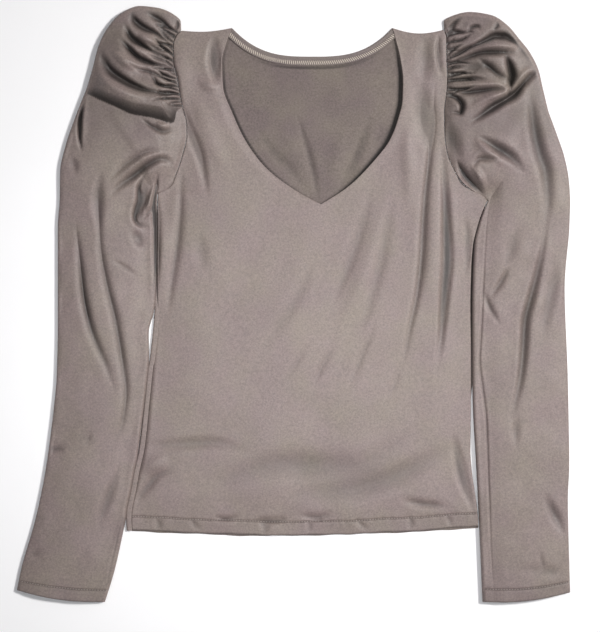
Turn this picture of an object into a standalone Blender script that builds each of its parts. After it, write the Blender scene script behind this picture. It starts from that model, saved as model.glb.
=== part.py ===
"""A women's long-sleeved V-neck top with gathered sleeve heads, laid flat with its front up.

The cloth pieces are the back, the front, two sleeves and the turned edge of the back neck.
All sizes below are millimetres, and build_mesh() turns them into metres. Z = 0 is the surface
that the top lies on, +Y points to the neck, and the origin is the bottom centre of the whole.
Right and left are the wearer's, so the right sleeve lies at -X.
"""

import math
from collections import namedtuple

import bmesh
import bpy

MM = 0.001

# Driving sizes
WALL = 1.2            # one layer of cloth
GAP = 0.3             # between two layers, and between two pieces at a seam
HEM_DEPTH = 15.0      # turned-up hem of the body
CUFF_DEPTH = 13.0     # turned-up hem of a sleeve
HEM_EXTRA = 0.4       # what the turned-up cloth adds to a wall
TURNING_DEPTH = 10.0  # turned edge inside the back neck
TURNING_WALL = 1.0
FRONT_REST = 2.2      # air under the middle of the front
LAYERS = 2 * WALL + GAP

# How finely the cloth is divided
SIDE_ROWS = 11        # from the hem to the armholes
ARM_STEPS = 15        # along an armhole
HALF_COLUMNS = 9      # across half of the front
BACK_COLUMNS = 12     # across the back, two in each strap
HEAD_STEPS = 12       # from the armhole to the end of the gathered head
ARM_ROWS = 11         # from there to the cuff
FOLD_STEPS = 3        # round each folded edge of a sleeve

CLOTH = (0.37, 0.30, 0.28, 1.0)
CLOTH_ROUGHNESS = 0.55

Point = namedtuple("Point", "x y")
Arm = namedtuple("Arm", "outer_x outer_y inner_x inner_y crown outer_round inner_round")
Head = namedtuple("Head", "outer_x outer_y crown outer_round")
Fold = namedtuple("Fold", "x0 y0 x1 y1 x2 y2 reach rise")
Sleeve = namedtuple("Sleeve", "name armhole head arm folds")

# Body outline. A side runs from the hem up to the armhole, an armhole from there to the shoulder.
HEM = ((0.0, -247.5), (0.41, -253.0), (0.72, -249.5), (1.0, -243.0))  # share of width, height
RIGHT_FOLD = (Point(-182, -247.5), Point(-183, -231), Point(-178, -203.5), Point(-174, -181.5),
              Point(-169, -159.5), Point(-162.5, -104.5), Point(-159.5, -76), Point(-156.5, -50.5),
              Point(-154, -27.5), Point(-152.5, -10), Point(-150.5, 16.5), Point(-149.5, 49.5),
              Point(-149.5, 99), Point(-149, 123))
RIGHT_SEAM = (Point(-177.5, -247.5), Point(-178, -231), Point(-173, -203.5), Point(-169, -181.5),
              Point(-164, -159.5), Point(-158, -104.5), Point(-155, -76), Point(-152, -50.5),
              Point(-149.5, -27.5), Point(-149, -10), Point(-149.5, 16.5), Point(-149.3, 49.5),
              Point(-149.3, 99), Point(-149, 123))
LEFT_FOLD = (Point(203, -243), Point(202.5, -231), Point(199, -203.5), Point(196, -181.5),
             Point(194.5, -159.5), Point(195, -104.5), Point(195, -49.5), Point(194.5, -1),
             Point(195.5, 43), Point(197, 62.5), Point(202.5, 87), Point(208.5, 104.5),
             Point(213.5, 115.5))
RIGHT_ARMHOLE = (Point(-149, 123), Point(-139.5, 127), Point(-133.5, 132), Point(-130, 141),
                 Point(-124.5, 156), Point(-120, 171.5), Point(-117, 187), Point(-117.5, 200),
                 Point(-121.5, 216.5), Point(-124.5, 231), Point(-128, 252), Point(-131.5, 266),
                 Point(-132, 285), Point(-128.5, 296), Point(-123, 301.5))
LEFT_ARMHOLE = (Point(213.5, 115.5), Point(206.5, 120.5), Point(194, 127), Point(183, 136.5),
                Point(175.5, 150.5), Point(169, 166), Point(166, 189), Point(165.5, 212.5),
                Point(168, 233.5), Point(169, 248.5), Point(168, 274), Point(168, 293.5),
                Point(165, 302.5))

# The V of the front, from its point up to the shoulder
RIGHT_NECK = (Point(30, 110.5), Point(2, 126), Point(-30, 150.5), Point(-53, 181),
              Point(-68, 213), Point(-77.5, 240), Point(-78.5, 268), Point(-74, 287),
              Point(-67.5, 304.5))
LEFT_NECK = (Point(30, 110.5), Point(60, 130), Point(91, 161.5), Point(105.5, 181),
             Point(114, 202), Point(119.5, 226), Point(120, 247), Point(117, 271),
             Point(108.5, 304.5))
SHOULDER_DIP = {"right": 2.5, "left": 5.0}

# The scoop of the back neck, a cubic curve from shoulder to shoulder
SCOOP_CENTRE = 20.5
SCOOP_HALF = 88.0
SCOOP_DEPTH = 31.5
NECK_TOP = 304.5
TURNING_HALF = 80.0

# A sleeve's head fans from the armhole to its last row, then the arm goes down to the cuff.
FAN = 4.0             # how closely the fan's rows keep to the armhole before they reach the outline
SEAM_SPLIT = 0.55     # between an armhole and the sleeve sewn to it
RIGHT_HEAD = (Head(-123.5, 302, 2.7, 1.35), Head(-124, 311.5, 7, 2.6), Head(-132, 319.5, 9, 4),
              Head(-149, 326.5, 11, 5), Head(-169, 328.5, 12, 6), Head(-188.5, 321, 13, 7),
              Head(-204, 304.5, 13, 7), Head(-214, 285, 13, 7), Head(-220.5, 260.5, 13, 7),
              Head(-227, 238.5, 12, 6.5), Head(-231.5, 227.5, 11.5, 6))
LEFT_HEAD = (Head(165.7, 302.7, 2.7, 1.35), Head(165.2, 311.5, 7, 2.6), Head(175, 318, 9, 4),
             Head(193.5, 322, 11, 5), Head(217, 318.5, 12, 6), Head(234, 308, 13, 7),
             Head(248, 292, 13, 7), Head(260, 276.5, 13, 7), Head(269, 258, 13, 7),
             Head(274, 237, 12, 6.5), Head(280, 212.5, 11.5, 6))
RIGHT_ARM = (Arm(-231.5, 227.5, -152.2, 121, 11.5, 6, 2),
             Arm(-241.5, 201.5, -153, 113, 11, 5.5, 2.4), Arm(-250.5, 175, -153, 101, 10.5, 5, 2.8),
             Arm(-256.5, 146.5, -152.6, 82.5, 10, 4.5, 3), Arm(-257, 115.5, -152.6, 65, 10, 4, 3.2),
             Arm(-259, 82.5, -153, 45, 9.5, 4, 3.5), Arm(-259, 5.5, -158.5, -7.5, 9.5, 4, 3.5),
             Arm(-260.5, -82.5, -164, -83.5, 9.5, 4, 3.5), Arm(-271, -172.5, -174.5, -171.5, 9.5, 4, 3.5),
             Arm(-283, -233, -187, -232, 9.5, 4, 3.5), Arm(-298.5, -287, -197, -293.5, 9.5, 4, 3.5),
             Arm(-304, -313, -207, -326, 9.5, 4, 3.5))
LEFT_ARM = (Arm(280, 212.5, 215.6, 113.5, 11.5, 6, 2),
            Arm(289, 188, 214.5, 107, 11, 5.5, 2.4), Arm(297.5, 163, 210.5, 98, 10.5, 5, 2.8),
            Arm(302.5, 137.5, 206.5, 88, 10, 4.5, 3), Arm(304, 113.5, 202.4, 74, 10, 4, 3.2),
            Arm(303, 82.5, 199.2, 58.5, 9.5, 4, 3.5), Arm(298, 16.5, 196.5, -1, 9.5, 4, 3.5),
            Arm(301.5, -82.5, 199, -92.5, 9.5, 4, 3.5), Arm(303, -172.5, 202, -172.5, 9.5, 4, 3.5),
            Arm(301.5, -214.5, 204.5, -214.5, 9.5, 4, 3.5), Arm(302.5, -264, 206, -264, 9.5, 4, 3.5),
            Arm(304, -315.5, 207.5, -326, 9.5, 4, 3.5))
CUFF_DROP = 4.0       # a cuff's edge bows outward by this much

# The largest folds: a bent line through three points, how far it reaches and how high it rises
RIGHT_FOLDS = (Fold(-155, 305, -185, 300, -203, 245, 34, 10), Fold(-226, 234, -190, 208, -127, 202, 11, -5),
               Fold(-215, 250, -180, 229, -140, 221, 11, 4), Fold(-130, 280, -160, 288, -182, 306, 8, -5),
               Fold(-131, 243, -162, 254, -192, 276, 8, -5), Fold(-141, 168, -168, 165, -199, 130, 9, -3),
               Fold(-213, 132, -200, 40, -174, -60, 9, -2.5), Fold(-233, 88, -218, -10, -200, -95, 8, -2))
LEFT_FOLDS = (Fold(186, 300, 225, 285, 248, 236, 34, 10), Fold(272, 256, 230, 222, 188, 188, 11, -5),
              Fold(262, 268, 225, 250, 180, 246, 10, 3), Fold(172, 262, 210, 296, 248, 288, 8, -5),
              Fold(240, 270, 243, 245, 238, 232, 8, -4), Fold(184, 156, 194, 140, 209, 124, 7, -4),
              Fold(269, 230, 280, 150, 271, 85, 9, -2.5), Fold(277, 120, 266, 30, 243, -95, 9, -2.5))
FRONT_FOLDS = (Fold(150, 240, 158, 130, 140, -40, 17, -1.8), Fold(170, 140, 172, 60, 160, -60, 15, 1.6),
               Fold(115, 290, 126, 225, 88, 150, 15, 3.6), Fold(-122, 200, -112, 90, -128, -20, 17, 1.6),
               Fold(-95, 160, -100, 40, -140, -180, 20, -1.4), Fold(40, 60, 0, -40, -90, -120, 30, 1.4),
               Fold(60, -40, 110, -120, 150, -200, 26, -1.2))
LEAST_HOLLOW = 0.9    # the least air that a fold leaves inside a sleeve, away from its seam
FOLD_SEGMENTS = 8     # straight stretches in a fold's bent line
FOLD_END = 0.35       # what is left of a fold's rise at its ends

SLEEVES = (Sleeve("right_sleeve", RIGHT_ARMHOLE, RIGHT_HEAD, RIGHT_ARM, RIGHT_FOLDS),
           Sleeve("left_sleeve", LEFT_ARMHOLE, LEFT_HEAD, LEFT_ARM, LEFT_FOLDS))


def lerp(a, b, share):
    return a + (b - a) * share


def ease(share):
    """0 to 1 with flat ends."""
    share = min(max(share, 0.0), 1.0)
    return share * share * (3 - 2 * share)


def smooth(keys, values, at):
    """A smooth value at a place along rising keys that never overshoots its neighbours."""
    slopes = [(values[i + 1] - values[i]) / (keys[i + 1] - keys[i]) for i in range(len(keys) - 1)]
    bends = [slopes[0]]
    for before, after in zip(slopes, slopes[1:]):
        bends.append(0.0 if before * after <= 0 else 2 * before * after / (before + after))
    bends.append(slopes[-1])
    i = max(k for k in range(len(keys) - 1) if k == 0 or keys[k] <= at)
    span = keys[i + 1] - keys[i]
    u = (at - keys[i]) / span
    return (values[i] * (1 + 2 * u) * (1 - u) ** 2 + bends[i] * span * u * (1 - u) ** 2
            + values[i + 1] * u * u * (3 - 2 * u) + bends[i + 1] * span * u * u * (u - 1))


def along(points, share):
    """The point at a share of the length of a smooth curve through points."""
    lengths = [0.0]
    for a, b in zip(points, points[1:]):
        lengths.append(lengths[-1] + math.hypot(b.x - a.x, b.y - a.y))
    at = share * lengths[-1]
    return Point(smooth(lengths, [p.x for p in points], at), smooth(lengths, [p.y for p in points], at))


def column(rows, name, at):
    """One named column of a table at a fractional row."""
    return smooth(range(len(rows)), [getattr(row, name) for row in rows], at)


def fold_line(fold):
    """Points along a fold's bent line."""
    shares = [k / FOLD_SEGMENTS for k in range(FOLD_SEGMENTS + 1)]
    return [Point((1 - u) ** 2 * fold.x0 + 2 * u * (1 - u) * fold.x1 + u * u * fold.x2,
                  (1 - u) ** 2 * fold.y0 + 2 * u * (1 - u) * fold.y1 + u * u * fold.y2) for u in shares]


def fold_rise(folds, x, y):
    """The height that the folds add at a place, each fading at its ends."""
    total = 0.0
    for fold in folds:
        nearest, share = math.inf, 0.0
        line = fold_line(fold)
        for k, (a, b) in enumerate(zip(line, line[1:])):
            dx, dy = b.x - a.x, b.y - a.y
            part = min(max(((x - a.x) * dx + (y - a.y) * dy) / (dx * dx + dy * dy), 0.0), 1.0)
            distance = math.hypot(x - a.x - part * dx, y - a.y - part * dy)
            if distance < nearest:
                nearest, share = distance, (k + part) / FOLD_SEGMENTS
        ends = lerp(FOLD_END, 1.0, math.sin(math.pi * share))
        total += fold.rise * ends * math.exp(-(nearest / fold.reach) ** 2)
    return total


def build_mesh(name, grids, thickness, offset, heavy=(), closed=False):
    """A sheet of quads through grids of points in millimetres, made a wall by Solidify.

    heavy holds the rows of each grid whose wall is a turned-up hem.
    """
    mesh = bpy.data.meshes.new(name)
    shape = bmesh.new()
    hem = shape.verts.layers.deform.verify()
    for grid in grids:
        rows = [[shape.verts.new([c * MM for c in point]) for point in row] for row in grid]
        for i, row in enumerate(rows):
            for vert in row:
                vert[hem][0] = 1.0 if i in heavy else 0.0
        for low, high in zip(rows, rows[1:]):
            count = len(low)
            for j in range(count if closed else count - 1):
                k = (j + 1) % count
                shape.faces.new((low[j], low[k], high[k], high[j]))
    bmesh.ops.remove_doubles(shape, verts=shape.verts, dist=0.00001)
    bmesh.ops.recalc_face_normals(shape, faces=shape.faces)
    highest = max(shape.faces, key=lambda face: face.calc_center_median().z)
    if highest.normal.z < 0:
        bmesh.ops.reverse_faces(shape, faces=shape.faces)
    shape.to_mesh(mesh)
    shape.free()
    mesh.shade_smooth()
    piece = bpy.data.objects.new(name, mesh)
    piece.vertex_groups.new(name="hem")
    wall = piece.modifiers.new("wall", "SOLIDIFY")
    wall.thickness = (thickness + HEM_EXTRA) * MM
    wall.offset = offset
    wall.vertex_group = "hem"
    wall.thickness_vertex_group = thickness / (thickness + HEM_EXTRA)
    return piece


def side_point(side, share, centre_top):
    """A point of a side seam or fold at a share of the height from hem to armhole."""
    y = lerp(side[0].y, centre_top, share)
    return Point(smooth([p.y for p in side], [p.x for p in side], y), y)


def side_shares():
    """The rows between the hem and the armholes: the hem's own two, then even ones."""
    height = RIGHT_FOLD[-1].y - RIGHT_FOLD[0].y
    hem = [0.0, HEM_DEPTH / height, (HEM_DEPTH + 4) / height]
    return hem + [lerp(hem[-1], 1.0, k / SIDE_ROWS) for k in range(1, SIDE_ROWS + 1)]


def hem_height(share):
    return smooth([row[0] for row in HEM], [row[1] for row in HEM], share)


def neck_share():
    """Where the V's point stands between the two armholes."""
    return (RIGHT_NECK[0].x - RIGHT_ARMHOLE[0].x) / (LEFT_ARMHOLE[0].x - RIGHT_ARMHOLE[0].x)


def chest_height(share):
    """The row through both armholes' lower ends and the point of the V."""
    middle = neck_share()
    if share < middle:
        return lerp(RIGHT_ARMHOLE[0].y, RIGHT_NECK[0].y, share / middle)
    return lerp(RIGHT_NECK[0].y, LEFT_ARMHOLE[0].y, (share - middle) / (1 - middle))


def front_half(side, armhole, neck, edge_share, dip):
    """Rows of half of the front, from the outer edge to its centre line and then to the neck."""
    grid = []
    shares = side_shares()
    for row, rise in enumerate(shares):
        outer = side_point(side, rise, armhole[0].y)
        line = []
        for j in range(HALF_COLUMNS + 1):
            across = j / HALF_COLUMNS
            share = lerp(edge_share, neck_share(), across)
            x = lerp(outer.x, neck[0].x, across)
            y = lerp(hem_height(share), chest_height(share), rise)
            edge = ease(across * 5) * ease(row / 3)
            line.append((x, y, front_height(x, y, edge, HEM_EXTRA if row < 2 else 0.0)))
        grid.append(line)
    for k in range(1, ARM_STEPS + 1):
        outer, inner = along(armhole, k / ARM_STEPS), along(neck, k / ARM_STEPS)
        line = []
        for j in range(HALF_COLUMNS + 1):
            across = j / HALF_COLUMNS
            x = lerp(outer.x, inner.x, across)
            y = lerp(outer.y, inner.y, across)
            y -= dip * math.sin(math.pi * across) * ease(k / ARM_STEPS * 3 - 2)
            edge = ease(across * 4) * ease((ARM_STEPS - k) / 3)
            line.append((x, y, front_height(x, y, edge, 0.0)))
        grid.append(line)
    return grid


def front_height(x, y, edge, extra):
    """The underside of the front: clear of the back, raised by air and folds inside its edges."""
    lift = max(FRONT_REST + fold_rise(FRONT_FOLDS, x, y), 0.3)
    return WALL + GAP + extra + lift * edge


def make_front():
    right = front_half(RIGHT_SEAM, RIGHT_ARMHOLE, RIGHT_NECK, 0.0, SHOULDER_DIP["right"])
    left = front_half(LEFT_FOLD, LEFT_ARMHOLE, LEFT_NECK, 1.0, SHOULDER_DIP["left"])
    return build_mesh("front", (right, left), WALL, 1.0, heavy=(0, 1))


def scoop(x):
    """The back neck's edge at x, or the shoulder's height beyond it."""
    across = min(abs((x - SCOOP_CENTRE) / SCOOP_HALF), 1.0)
    return NECK_TOP - SCOOP_DEPTH * (1 - across ** 3)


def back_top(x):
    """The top edge of the back, along both shoulders and the scoop."""
    right_end, left_end = RIGHT_ARMHOLE[-1], LEFT_ARMHOLE[-1]
    if x < SCOOP_CENTRE - SCOOP_HALF:
        across = (x - right_end.x) / (SCOOP_CENTRE - SCOOP_HALF - right_end.x)
        return lerp(right_end.y, NECK_TOP, across) - SHOULDER_DIP["right"] * math.sin(math.pi * across)
    if x > SCOOP_CENTRE + SCOOP_HALF:
        across = (left_end.x - x) / (left_end.x - SCOOP_CENTRE - SCOOP_HALF)
        return lerp(left_end.y, NECK_TOP, across) - SHOULDER_DIP["left"] * math.sin(math.pi * across)
    return scoop(x)


def back_shares():
    """Columns of the back: two in each strap and the rest even across the scoop."""
    start, width = RIGHT_ARMHOLE[-1].x, LEFT_ARMHOLE[-1].x - RIGHT_ARMHOLE[-1].x
    neck_start = (SCOOP_CENTRE - SCOOP_HALF - start) / width
    neck_end = (SCOOP_CENTRE + SCOOP_HALF - start) / width
    inner = BACK_COLUMNS - 4
    shares = [0.0, neck_start / 2]
    shares += [lerp(neck_start, neck_end, k / inner) for k in range(inner + 1)]
    return shares + [(1 + neck_end) / 2, 1.0]


def make_back():
    """The back lies flat on the surface, its lower face at Z = 0."""
    grid = []
    for rise in side_shares():
        right = side_point(RIGHT_FOLD, rise, RIGHT_ARMHOLE[0].y)
        left = side_point(LEFT_FOLD, rise, LEFT_ARMHOLE[0].y)
        grid.append([(lerp(right.x, left.x, share),
                      lerp(hem_height(share), chest_height(share), rise), 0.0)
                     for share in back_shares()])
    for k in range(1, ARM_STEPS + 1):
        right, left = along(RIGHT_ARMHOLE, k / ARM_STEPS), along(LEFT_ARMHOLE, k / ARM_STEPS)
        line = []
        for share in back_shares():
            x = lerp(right.x, left.x, share)
            rise = lerp((right.y - RIGHT_ARMHOLE[0].y) / (RIGHT_ARMHOLE[-1].y - RIGHT_ARMHOLE[0].y),
                        (left.y - LEFT_ARMHOLE[0].y) / (LEFT_ARMHOLE[-1].y - LEFT_ARMHOLE[0].y), share)
            top = back_top(lerp(RIGHT_ARMHOLE[-1].x, LEFT_ARMHOLE[-1].x, share))
            line.append((x, lerp(chest_height(share), top, rise), 0.0))
        grid.append(line)
    return build_mesh("back", (grid,), WALL, 1.0, heavy=(0, 1))


def make_turning():
    """The back neck's edge, turned to the inside and lying on the back."""
    edge, inside = [], []
    steps = 2 * BACK_COLUMNS
    for k in range(steps + 1):
        x = SCOOP_CENTRE + lerp(-TURNING_HALF, TURNING_HALF, k / steps)
        slope = scoop(x + 0.5) - scoop(x - 0.5)
        length = math.hypot(1, slope)
        edge.append((x + GAP * slope / length, scoop(x) - GAP / length, WALL + GAP))
        inside.append((x + TURNING_DEPTH * slope / length, scoop(x) - TURNING_DEPTH / length, WALL + GAP))
    return build_mesh("back_neck_turning", ((inside, edge),), TURNING_WALL, 1.0)


def seam_point(sleeve, share):
    """A point of the sleeve's edge along the armhole, just clear of the body's."""
    here = along(sleeve.armhole, share)
    before, after = along(sleeve.armhole, max(share - 0.01, 0)), along(sleeve.armhole, min(share + 0.01, 1))
    dx, dy = after.x - before.x, after.y - before.y
    outward = SEAM_SPLIT / math.hypot(dx, dy) * (1 if sleeve.armhole[0].x > 0 else -1)
    return Point(here.x + dy * outward, here.y - dx * outward)


def head_point(sleeve, turn, share):
    """A plan point of the gathered head, turn 0 at the armhole and 1 at its last row."""
    start, end = seam_point(sleeve, share), sleeve.arm[0]
    last = Point(lerp(end.inner_x, end.outer_x, share), lerp(end.inner_y, end.outer_y, share))
    row = turn * (len(sleeve.head) - 1)
    top = seam_point(sleeve, 1.0)
    bulge = share ** FAN
    return Point(lerp(start.x, last.x, turn)
                 + bulge * (column(sleeve.head, "outer_x", row) - lerp(top.x, end.outer_x, turn)),
                 lerp(start.y, last.y, turn)
                 + bulge * (column(sleeve.head, "outer_y", row) - lerp(top.y, end.outer_y, turn)))


def arm_point(sleeve, row, share):
    """A plan point of the arm at a fractional row of its table."""
    x = lerp(column(sleeve.arm, "inner_x", row), column(sleeve.arm, "outer_x", row), share)
    y = lerp(column(sleeve.arm, "inner_y", row), column(sleeve.arm, "outer_y", row), share)
    cuff = ease(row - len(sleeve.arm) + 2)
    return Point(x, y - CUFF_DROP * math.sin(math.pi * share) * cuff)


def ring(sleeve, place, crown, outer_round, inner_round, clear):
    """One closed ring of a sleeve: along the surface, up round the outer edge, back over the top.

    place gives the plan point at a share of the width, 0 at the underarm edge.
    """
    inner, outer = place(0.0), place(1.0)
    width = math.hypot(outer.x - inner.x, outer.y - inner.y)
    near, far = inner_round / width, 1 - outer_round / width
    shares = [near] + [k / ARM_STEPS for k in range(1, ARM_STEPS)] + [far]
    points = [(*place(share), 0.0) for share in shares]
    for k in range(1, FOLD_STEPS):
        angle = math.pi * (k / FOLD_STEPS - 0.5)
        share = far + (1 - far) * math.cos(angle)
        points.append((*place(share), outer_round * (1 + math.sin(angle))))
    for share in reversed(shares):
        spot = place(share)
        across = (share - near) / (far - near)
        base = lerp(2 * inner_round, 2 * outer_round, across)
        dome = math.sin(math.pi * across) ** 0.8 if 0 < across < 1 else 0.0
        top = base + (crown - base) * dome * ease(across * 4) if crown > base else base
        top += fold_rise(sleeve.folds, *spot) * ease(across * 5) * ease((1 - across) * 5) * clear
        points.append((*spot, max(top, LAYERS + LEAST_HOLLOW * clear * dome)))
    for k in range(1, FOLD_STEPS):
        angle = math.pi * (0.5 - k / FOLD_STEPS)
        share = near - near * math.cos(angle)
        points.append((*place(share), inner_round * (1 + math.sin(angle))))
    return points


def make_sleeve(sleeve):
    rings = []
    for k in range(HEAD_STEPS):
        turn = k / HEAD_STEPS
        row = turn * (len(sleeve.head) - 1)
        rings.append(ring(sleeve, lambda share: head_point(sleeve, turn, share),
                          column(sleeve.head, "crown", row), column(sleeve.head, "outer_round", row),
                          lerp(LAYERS / 2, sleeve.arm[0].inner_round, turn), ease(turn * 5)))
    last = len(sleeve.arm) - 1
    length = math.hypot(sleeve.arm[-1].outer_x - sleeve.arm[-2].outer_x,
                        sleeve.arm[-1].outer_y - sleeve.arm[-2].outer_y)
    rows = [last * k / ARM_ROWS for k in range(ARM_ROWS)]
    rows += [last - (CUFF_DEPTH + 4) / length, last - CUFF_DEPTH / length, last]
    for row in rows:
        rings.append(ring(sleeve, lambda share: arm_point(sleeve, row, share),
                          column(sleeve.arm, "crown", row), column(sleeve.arm, "outer_round", row),
                          column(sleeve.arm, "inner_round", row), 1.0))
    heavy = (len(rings) - 2, len(rings) - 1)
    return build_mesh(sleeve.name, (rings,), WALL, -1.0, heavy=heavy, closed=True)


def cloth_material(name):
    material = bpy.data.materials.new(name)
    material.use_nodes = True
    shader = material.node_tree.nodes["Principled BSDF"]
    shader.inputs["Base Color"].default_value = CLOTH
    shader.inputs["Roughness"].default_value = CLOTH_ROUGHNESS
    shader.inputs["Metallic"].default_value = 0.0
    return material


def main():
    for thing in list(bpy.data.objects):
        bpy.data.objects.remove(thing)
    garment = bpy.data.collections.new("puff_sleeve_top")
    bpy.context.scene.collection.children.link(garment)
    pieces = [make_back(), make_front(), make_turning()]
    pieces += [make_sleeve(sleeve) for sleeve in SLEEVES]
    for piece in pieces:
        piece.data.materials.append(cloth_material(piece.name + "_cloth"))
        garment.objects.link(piece)


main()
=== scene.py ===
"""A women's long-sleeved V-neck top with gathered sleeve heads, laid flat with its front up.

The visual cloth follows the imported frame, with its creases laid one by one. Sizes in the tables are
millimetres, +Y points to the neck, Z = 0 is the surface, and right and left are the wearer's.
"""

import math
from collections import namedtuple

import bmesh
import bpy
import numpy as np
from bpy.props import FloatProperty, FloatVectorProperty, PointerProperty
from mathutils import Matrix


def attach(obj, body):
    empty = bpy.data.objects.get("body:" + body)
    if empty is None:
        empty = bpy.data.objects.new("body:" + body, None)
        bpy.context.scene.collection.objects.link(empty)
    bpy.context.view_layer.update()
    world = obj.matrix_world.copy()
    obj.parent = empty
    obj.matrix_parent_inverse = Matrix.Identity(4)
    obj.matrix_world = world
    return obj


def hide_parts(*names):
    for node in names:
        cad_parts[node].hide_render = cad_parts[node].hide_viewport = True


bl_info = {
    "name": "Puff Sleeve Top",
    "version": (1, 0, 0),
    "blender": (4, 5, 0),
    "location": "3D View > Sidebar > Top",
    "description": "A long-sleeved V-neck jersey top with gathered sleeve heads, laid flat",
    "category": "Object",
}

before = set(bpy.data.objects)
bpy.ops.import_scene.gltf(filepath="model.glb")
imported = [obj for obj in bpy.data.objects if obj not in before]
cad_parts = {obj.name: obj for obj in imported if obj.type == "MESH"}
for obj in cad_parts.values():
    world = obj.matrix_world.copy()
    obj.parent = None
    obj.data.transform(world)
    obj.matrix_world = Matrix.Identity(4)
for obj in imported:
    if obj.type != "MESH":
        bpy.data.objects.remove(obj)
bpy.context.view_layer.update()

MM = 0.001

# Photograph and light
CAMERA_X, CAMERA_Y, CAMERA_HEIGHT = 7.15, -12.1, 2600.0
VIEW_HEIGHT = 695.2      # what the photograph shows at the surface, along its longer side
SENSOR = 36.0
KEY_TURN = math.radians(20)       # from +X towards +Y
KEY_RISE = math.radians(46)
KEY_DISTANCE = 4.5
KEY_SIZE = 0.72
KEY_POWER = 185.0
KEY_COLOUR = (1.0, 0.985, 0.96)
SPOT_PLACE = (0.04, -0.05, 3.0)   # a soft pool of light over the middle of the body
SPOT_ANGLE = math.radians(17.0)
SPOT_SIZE = 0.25
SPOT_POWER = 190.0
SKY_COLOUR = (0.95, 0.97, 1.0, 1)
SKY_HIGH, SKY_LOW = 0.52, 0.06    # strength of the sky straight up and at the horizon
SURFACE_SIZE = 12

Point = namedtuple("Point", "x y")
Arm = namedtuple("Arm", "outer_x outer_y inner_x inner_y crown outer_round inner_round")
Head = namedtuple("Head", "outer_x outer_y crown outer_round")
Crease = namedtuple("Crease", "width rise path")
Ledge = namedtuple("Ledge", "width rise reach path")
Gather = namedtuple("Gather", "share way_x way_y length width rise")
Wave = namedtuple("Wave", "size height seed")
Sleeve = namedtuple("Sleeve", "name armhole side head arm swell creases ledges gathers")
# fold holds the creases' depth and painted shade; where negative it darkens the cloth's colour
Grid = namedtuple("Grid", "x y z u v fold turned")


def lerp(a, b, share):
    """The value that lies at a share of the way from a to b."""
    return a + (b - a) * share


def table(kind, *rows):
    """Rows of one kind, each from its values."""
    return tuple(kind(*row) for row in rows)


def laid(*rows):
    """Creases, each from its half width, its rise (a trough's is negative) and the places along it."""
    return tuple(Crease(width, rise, path) for width, rise, *path in rows)


# Layers, from the surface up
CLOTH = 0.9              # one layer of jersey
BACK_MIDDLE = 0.55       # the middle of the back's layer
BACK_EDGE_LIFT = 2.3     # where the back's cloth comes round to the front at the right side
FRONT_EDGE = 3.3         # the front's upper face at its edges
FRONT_REST = 2.3         # what the air under the front adds inside them
SLEEVE_REST = 0.2        # the lower face of a sleeve
SEAM_REST = 0.5          # how much higher it is at the armhole
HEAD_INNER_ROUND = 1.35  # the roundness of a head's edge at the top of the armhole
RIM_SHARE = 0.68         # how much of the frame's round outer edge the slack cloth keeps
SEAM_SPLIT = 0.3         # between an armhole and the sleeve sewn to it
ARM_GAP = 0.7            # between the body's side and an arm that lies against it
RIGHT_REACH, LEFT_REACH = 0.85, 2.2  # how far the back's cloth reaches under each arm
HEM_EXTRA = 0.7          # what a turned-up hem adds to the cloth
FRONT_SLOPE = 48         # how far inside its edges the front reaches its full height
SIDE_ROUND, SHOULDER_ROUND, NECK_ROUND, HEM_ROUND, CUFF_ROUND = 1.0, 1.2, 0.8, 1.5, 1.2
GROOVE_HALF = 0.9        # half the width of the groove of a stitch line
HEM_GROOVE, CUFF_GROOVE = 0.8, 0.7   # how deep it is
PUCKER = 0.25            # how much the hem's stitches pucker the cloth beside them
GAP_LOW, GAP_HIGH = -68, 2   # where the surface shows between the right arm and the body
MERGE = 0.02             # places closer than this are one
FAR = 99.0               # the distance to an edge that doesn't matter

# Rows and columns of the grids
BODY_ROWS, SHOULDER_ROWS, HEAD_ROWS, ARM_ROWS = 112, 74, 110, (84, 56)
FRONT_COLUMNS, BACK_COLUMNS, TURNING_COLUMNS = 80, 200, 210
# Columns across a sleeve: on the surface, up its outer edge, back over its top in two parts, and down
LOW_COLUMNS, OUTER_COLUMNS, TOP_COLUMNS, INNER_COLUMNS = 14, 7, (100, 49), 6
ARM_FINE = 190           # how far down an arm its rows stay close together

# Steps from an edge to the grid lines next to it
EDGE_STEPS = (0.0, 0.2, 0.5, 0.9, 1.4, 2.2, 3.4, 5.0, 7.4)
HEM_STEPS = (0.0, 0.2, 0.5, 0.9, 1.4, 2.4, 4.0, 6.0, 8.5, 11.0, 12.8, 13.8, 14.4, 14.8, 15.0, 15.3,
             15.8, 16.6, 18.0, 20.0)
TURNING_STEPS = (0.15, 0.4, 0.8, 1.4, 2.2, 3.2, 3.7, 4.2, 5.5, 7.0, 8.5, 9.3, 9.8, 10.0)
CUFF_STEPS = (0.0, 0.2, 0.5, 0.9, 1.4, 2.4, 4.0, 6.0, 8.5, 10.8, 11.8, 12.4, 12.8, 13.0, 13.3, 13.8,
              14.6, 16.0, 18.0)
HEM_SEW, CUFF_SEW, TURNING_SEW = 15.0, 13.0, 3.7

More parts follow.
